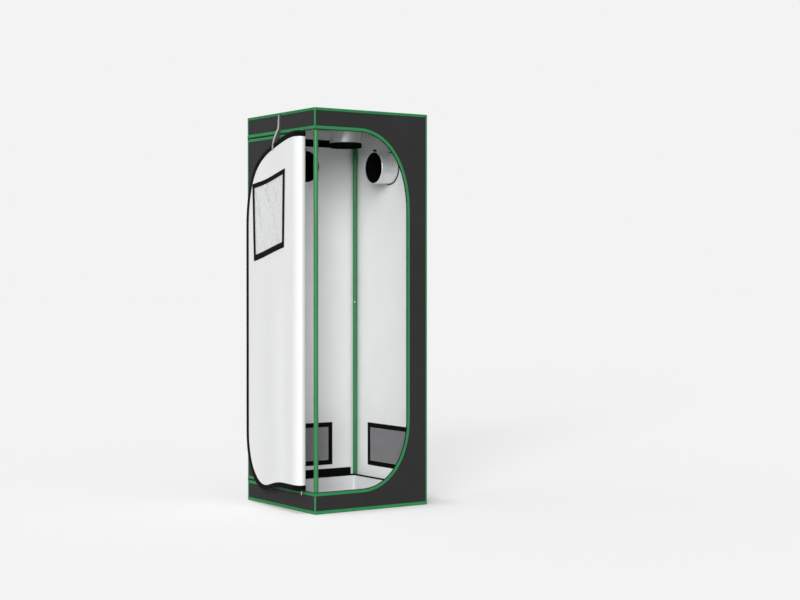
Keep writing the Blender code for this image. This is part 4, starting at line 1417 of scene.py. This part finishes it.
def make_stage():
    """Pale floor and backdrop, soft lamps, and the camera at the photograph's angle."""
    look = bpy.context.scene.grow_tent_stage
    scene = bpy.context.scene
    world = scene.world or bpy.data.worlds.new("studio")
    scene.world = world
    world.use_nodes = True
    sky = Nodes(world.node_tree)
    sky.tree.nodes.clear()
    seen = sky.node("ShaderNodeBackground", None, {"Color": look.backdrop})[0]
    lit = sky.node("ShaderNodeBackground", None, {"Color": (1.0, 1.0, 1.0), "Strength": look.fill})[0]
    sky.node("ShaderNodeOutputWorld", None, {0: sky.for_seen_rays(lit, seen)})
    ground = bpy.data.meshes.new("studio floor")
    edge = rectangle(-FLOOR_REACH, FLOOR_REACH, -FLOOR_REACH, FLOOR_REACH)
    ground.from_pydata([(x, y, 0) for x, y in edge], [], [(0, 1, 2, 3)])
    plate = bpy.data.objects.new("studio_floor", ground)
    plate.location.z = -0.0005
    scene.collection.objects.link(plate)
    paint = Finish("studio floor", look.backdrop, roughness=0.9)
    glow = paint.node("ShaderNodeEmission", None, {"Color": look.backdrop, "Strength": 1.0})[0]
    pale = paint.node("ShaderNodeBsdfDiffuse", None, {"Color": look.floor})[0]
    dim = paint.node("ShaderNodeBsdfDiffuse", None, {"Color": look.bounce})[0]
    shown = paint.node("ShaderNodeMixShader", None, {0: look.floor_glow, 1: pale, 2: glow})[0]
    surface = paint.tree.nodes["Material Output"].inputs["Surface"]
    paint.put(surface, paint.for_seen_rays(dim, shown))
    ground.materials.append(paint.material)
    for name, across, height, strength, spread in (
        ("key", 125, 40, look.key, 40),
        ("front", 42, 16, look.front, 30),
        ("top", 100, 86, look.top, 8),
    ):
        data = bpy.data.lights.new(name, "SUN")
        data.energy = strength * math.pi
        data.angle = math.radians(spread)
        lamp = bpy.data.objects.new(name, data)
        lamp.rotation_euler = (math.radians(90 - height), 0, math.radians(-across))
        scene.collection.objects.link(lamp)
    scene.view_settings.view_transform = "Standard"
    eye = bpy.data.cameras.new("camera")
    eye.sensor_width = 36.0
    eye.lens = CAMERA_LENS
    eye.clip_end = 200.0
    camera = bpy.data.objects.new("camera", eye)
    camera.location = CAMERA_PLACE
    camera.rotation_euler = (math.radians(90 + CAMERA_TILT), 0, math.radians(CAMERA_TURN))
    scene.collection.objects.link(camera)
    scene.camera = camera


# Properties


def number(name, text, default, unit="NONE"):
    return FloatProperty(name=name, description=text, default=default, unit=unit, precision=4)


def colour(name, text, default):
    return FloatVectorProperty(
        name=name, description=text, default=default, size=3, min=0.0, max=1.0, subtype="COLOR"
    )


class GrowTentSizes(PropertyGroup):
    slack: number("Slack", "How far the stretched walls bow in and out", 0.0016, "LENGTH")
    spacing: number("Wall spacing", "Distance between the points of the wall cloth", 0.020, "LENGTH")
    door_spacing: number("Door spacing", "Distance between the points of the door cloth", 0.009, "LENGTH")


class GrowTentColours(PropertyGroup):
    outer_cloth: colour("Outer cloth", "Dark grey cloth of the cover", (0.0255, 0.0255, 0.026))
    lining: colour("Lining", "Silver white inner face of the cover", (0.925, 0.93, 0.935))
    green: colour("Green tape", "Zip tapes and piping", (0.031, 0.255, 0.085))
    black: colour("Black tape", "Hems, bindings and the sleeves' inside", (0.0035, 0.0035, 0.0038))
    coil: colour("Zip coil", "Teeth of the zips", (0.004, 0.012, 0.007))
    steel: colour("Green steel", "Painted poles, rails and bars", (0.020, 0.20, 0.058))
    bright_steel: colour("Bright steel", "Sliders, pulls and snap buttons", (0.74, 0.74, 0.75))
    net: colour("Net", "Net of the vents", (0.25, 0.25, 0.26))
    film: colour("Film", "Window film", (0.95, 0.955, 0.96))
    tray: colour("Tray", "Cloth of the floor tray", (0.76, 0.77, 0.78))
    webbing: colour("Webbing", "Hold-back strap", (0.004, 0.004, 0.005))
    # Painted highlight: light grey for the lit edge of the black strap and for its tab
    webbing_painted_highlight: colour("Webbing painted highlight", "Light edge and tab of the hold-back strap", (0.42, 0.42, 0.43))
    plastic: colour("Plastic", "Cord locks", (0.018, 0.018, 0.018))


class GrowTentStage(PropertyGroup):
    backdrop: colour("Backdrop", "Background all round", (0.896, 0.896, 0.896))
    floor: colour("Floor", "Paint of the floor", (0.93, 0.93, 0.93))
    bounce: colour("Bounce", "Tone of the light that the floor throws back", (0.27, 0.27, 0.27))
    floor_glow: number("Floor glow", "Share of the floor that shows evenly lit", 0.30)
    fill: number("Fill", "Strength of the light from all round", 0.34)
    key: number("Key", "Strength of the soft lamp on the left", 0.03)
    front: number("Front", "Strength of the soft lamp in front", 0.83)
    top: number("Top", "Strength of the soft lamp above", 0.38)


# Operators


class GROW_TENT_OT_stage(Operator):
    """Add the floor, lamps and camera"""

    bl_idname = "grow_tent.stage"
    bl_label = "Stage"

    def execute(self, context):
        make_stage()
        return {"FINISHED"}


class GROW_TENT_OT_cover(Operator):
    """Add the cloth of the roof, floor and walls"""

    bl_idname = "grow_tent.cover"
    bl_label = "Cover"

    def execute(self, context):
        make_cover()
        return {"FINISHED"}


class GROW_TENT_OT_piping(Operator):
    """Add the green piping along the cover's edges"""

    bl_idname = "grow_tent.piping"
    bl_label = "Piping"

    def execute(self, context):
        make_piping()
        return {"FINISHED"}


class GROW_TENT_OT_zips(Operator):
    """Add the zip tapes and coils"""

    bl_idname = "grow_tent.zips"
    bl_label = "Zips"

    def execute(self, context):
        make_zips()
        return {"FINISHED"}


class GROW_TENT_OT_door(Operator):
    """Add the folded door with its hem"""

    bl_idname = "grow_tent.door"
    bl_label = "Door"

    def execute(self, context):
        make_door()
        return {"FINISHED"}


class GROW_TENT_OT_window(Operator):
    """Add the door's window"""

    bl_idname = "grow_tent.window"
    bl_label = "Window"

    def execute(self, context):
        make_window()
        return {"FINISHED"}


class GROW_TENT_OT_strap(Operator):
    """Add the strap that holds the door open"""

    bl_idname = "grow_tent.strap"
    bl_label = "Hold-back strap"

    def execute(self, context):
        make_strap()
        return {"FINISHED"}


class GROW_TENT_OT_vents(Operator):
    """Add the nets, bindings and cover flaps of the vents"""

    bl_idname = "grow_tent.vents"
    bl_label = "Vents"

    def execute(self, context):
        make_vents()
        return {"FINISHED"}


class GROW_TENT_OT_sleeves(Operator):
    """Add the duct sleeves"""

    bl_idname = "grow_tent.sleeves"
    bl_label = "Duct sleeves"

    def execute(self, context):
        make_sleeves()
        return {"FINISHED"}


class GROW_TENT_OT_tray(Operator):
    """Add the floor tray"""

    bl_idname = "grow_tent.tray"
    bl_label = "Floor tray"

    def execute(self, context):
        make_tray()
        return {"FINISHED"}


class GROW_TENT_OT_hardware(Operator):
    """Finish the poles, bars, sliders, buttons and cord locks"""

    bl_idname = "grow_tent.hardware"
    bl_label = "Steel and plastic"

    def execute(self, context):
        finish_carried()
        return {"FINISHED"}


OPERATORS = (
    GROW_TENT_OT_stage,
    GROW_TENT_OT_cover,
    GROW_TENT_OT_piping,
    GROW_TENT_OT_zips,
    GROW_TENT_OT_door,
    GROW_TENT_OT_window,
    GROW_TENT_OT_strap,
    GROW_TENT_OT_vents,
    GROW_TENT_OT_sleeves,
    GROW_TENT_OT_tray,
    GROW_TENT_OT_hardware,
)


class GROW_TENT_PT_pieces(Panel):
    """The tent's pieces, sizes and colours"""

    bl_idname = "GROW_TENT_PT_pieces"
    bl_label = "Grow Tent"
    bl_space_type = "VIEW_3D"
    bl_region_type = "UI"
    bl_category = "Grow Tent"

    def draw(self, context):
        scene = context.scene
        for group in (scene.grow_tent_sizes, scene.grow_tent_colours, scene.grow_tent_stage):
            box = self.layout.box()
            for name in group.__annotations__:
                box.prop(group, name)
        for operator in OPERATORS:
            self.layout.operator(operator.bl_idname)


GROUPS = (GrowTentSizes, GrowTentColours, GrowTentStage)
CLASSES = (*GROUPS, *OPERATORS, GROW_TENT_PT_pieces)


def register():
    for cls in CLASSES:
        bpy.utils.register_class(cls)
    bpy.types.Scene.grow_tent_sizes = PointerProperty(type=GrowTentSizes)
    bpy.types.Scene.grow_tent_colours = PointerProperty(type=GrowTentColours)
    bpy.types.Scene.grow_tent_stage = PointerProperty(type=GrowTentStage)


def unregister():
    del bpy.types.Scene.grow_tent_stage
    del bpy.types.Scene.grow_tent_colours
    del bpy.types.Scene.grow_tent_sizes
    for cls in reversed(CLASSES):
        bpy.utils.unregister_class(cls)


def corners(bounds):
    return [[float(x) for x in corner] for corner in bounds]


def main():
    register()
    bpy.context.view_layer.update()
    for operator in OPERATORS:
        kind, name = operator.bl_idname.split(".")
        getattr(getattr(bpy.ops, kind), name)()


if __name__ == "__main__":
    main()
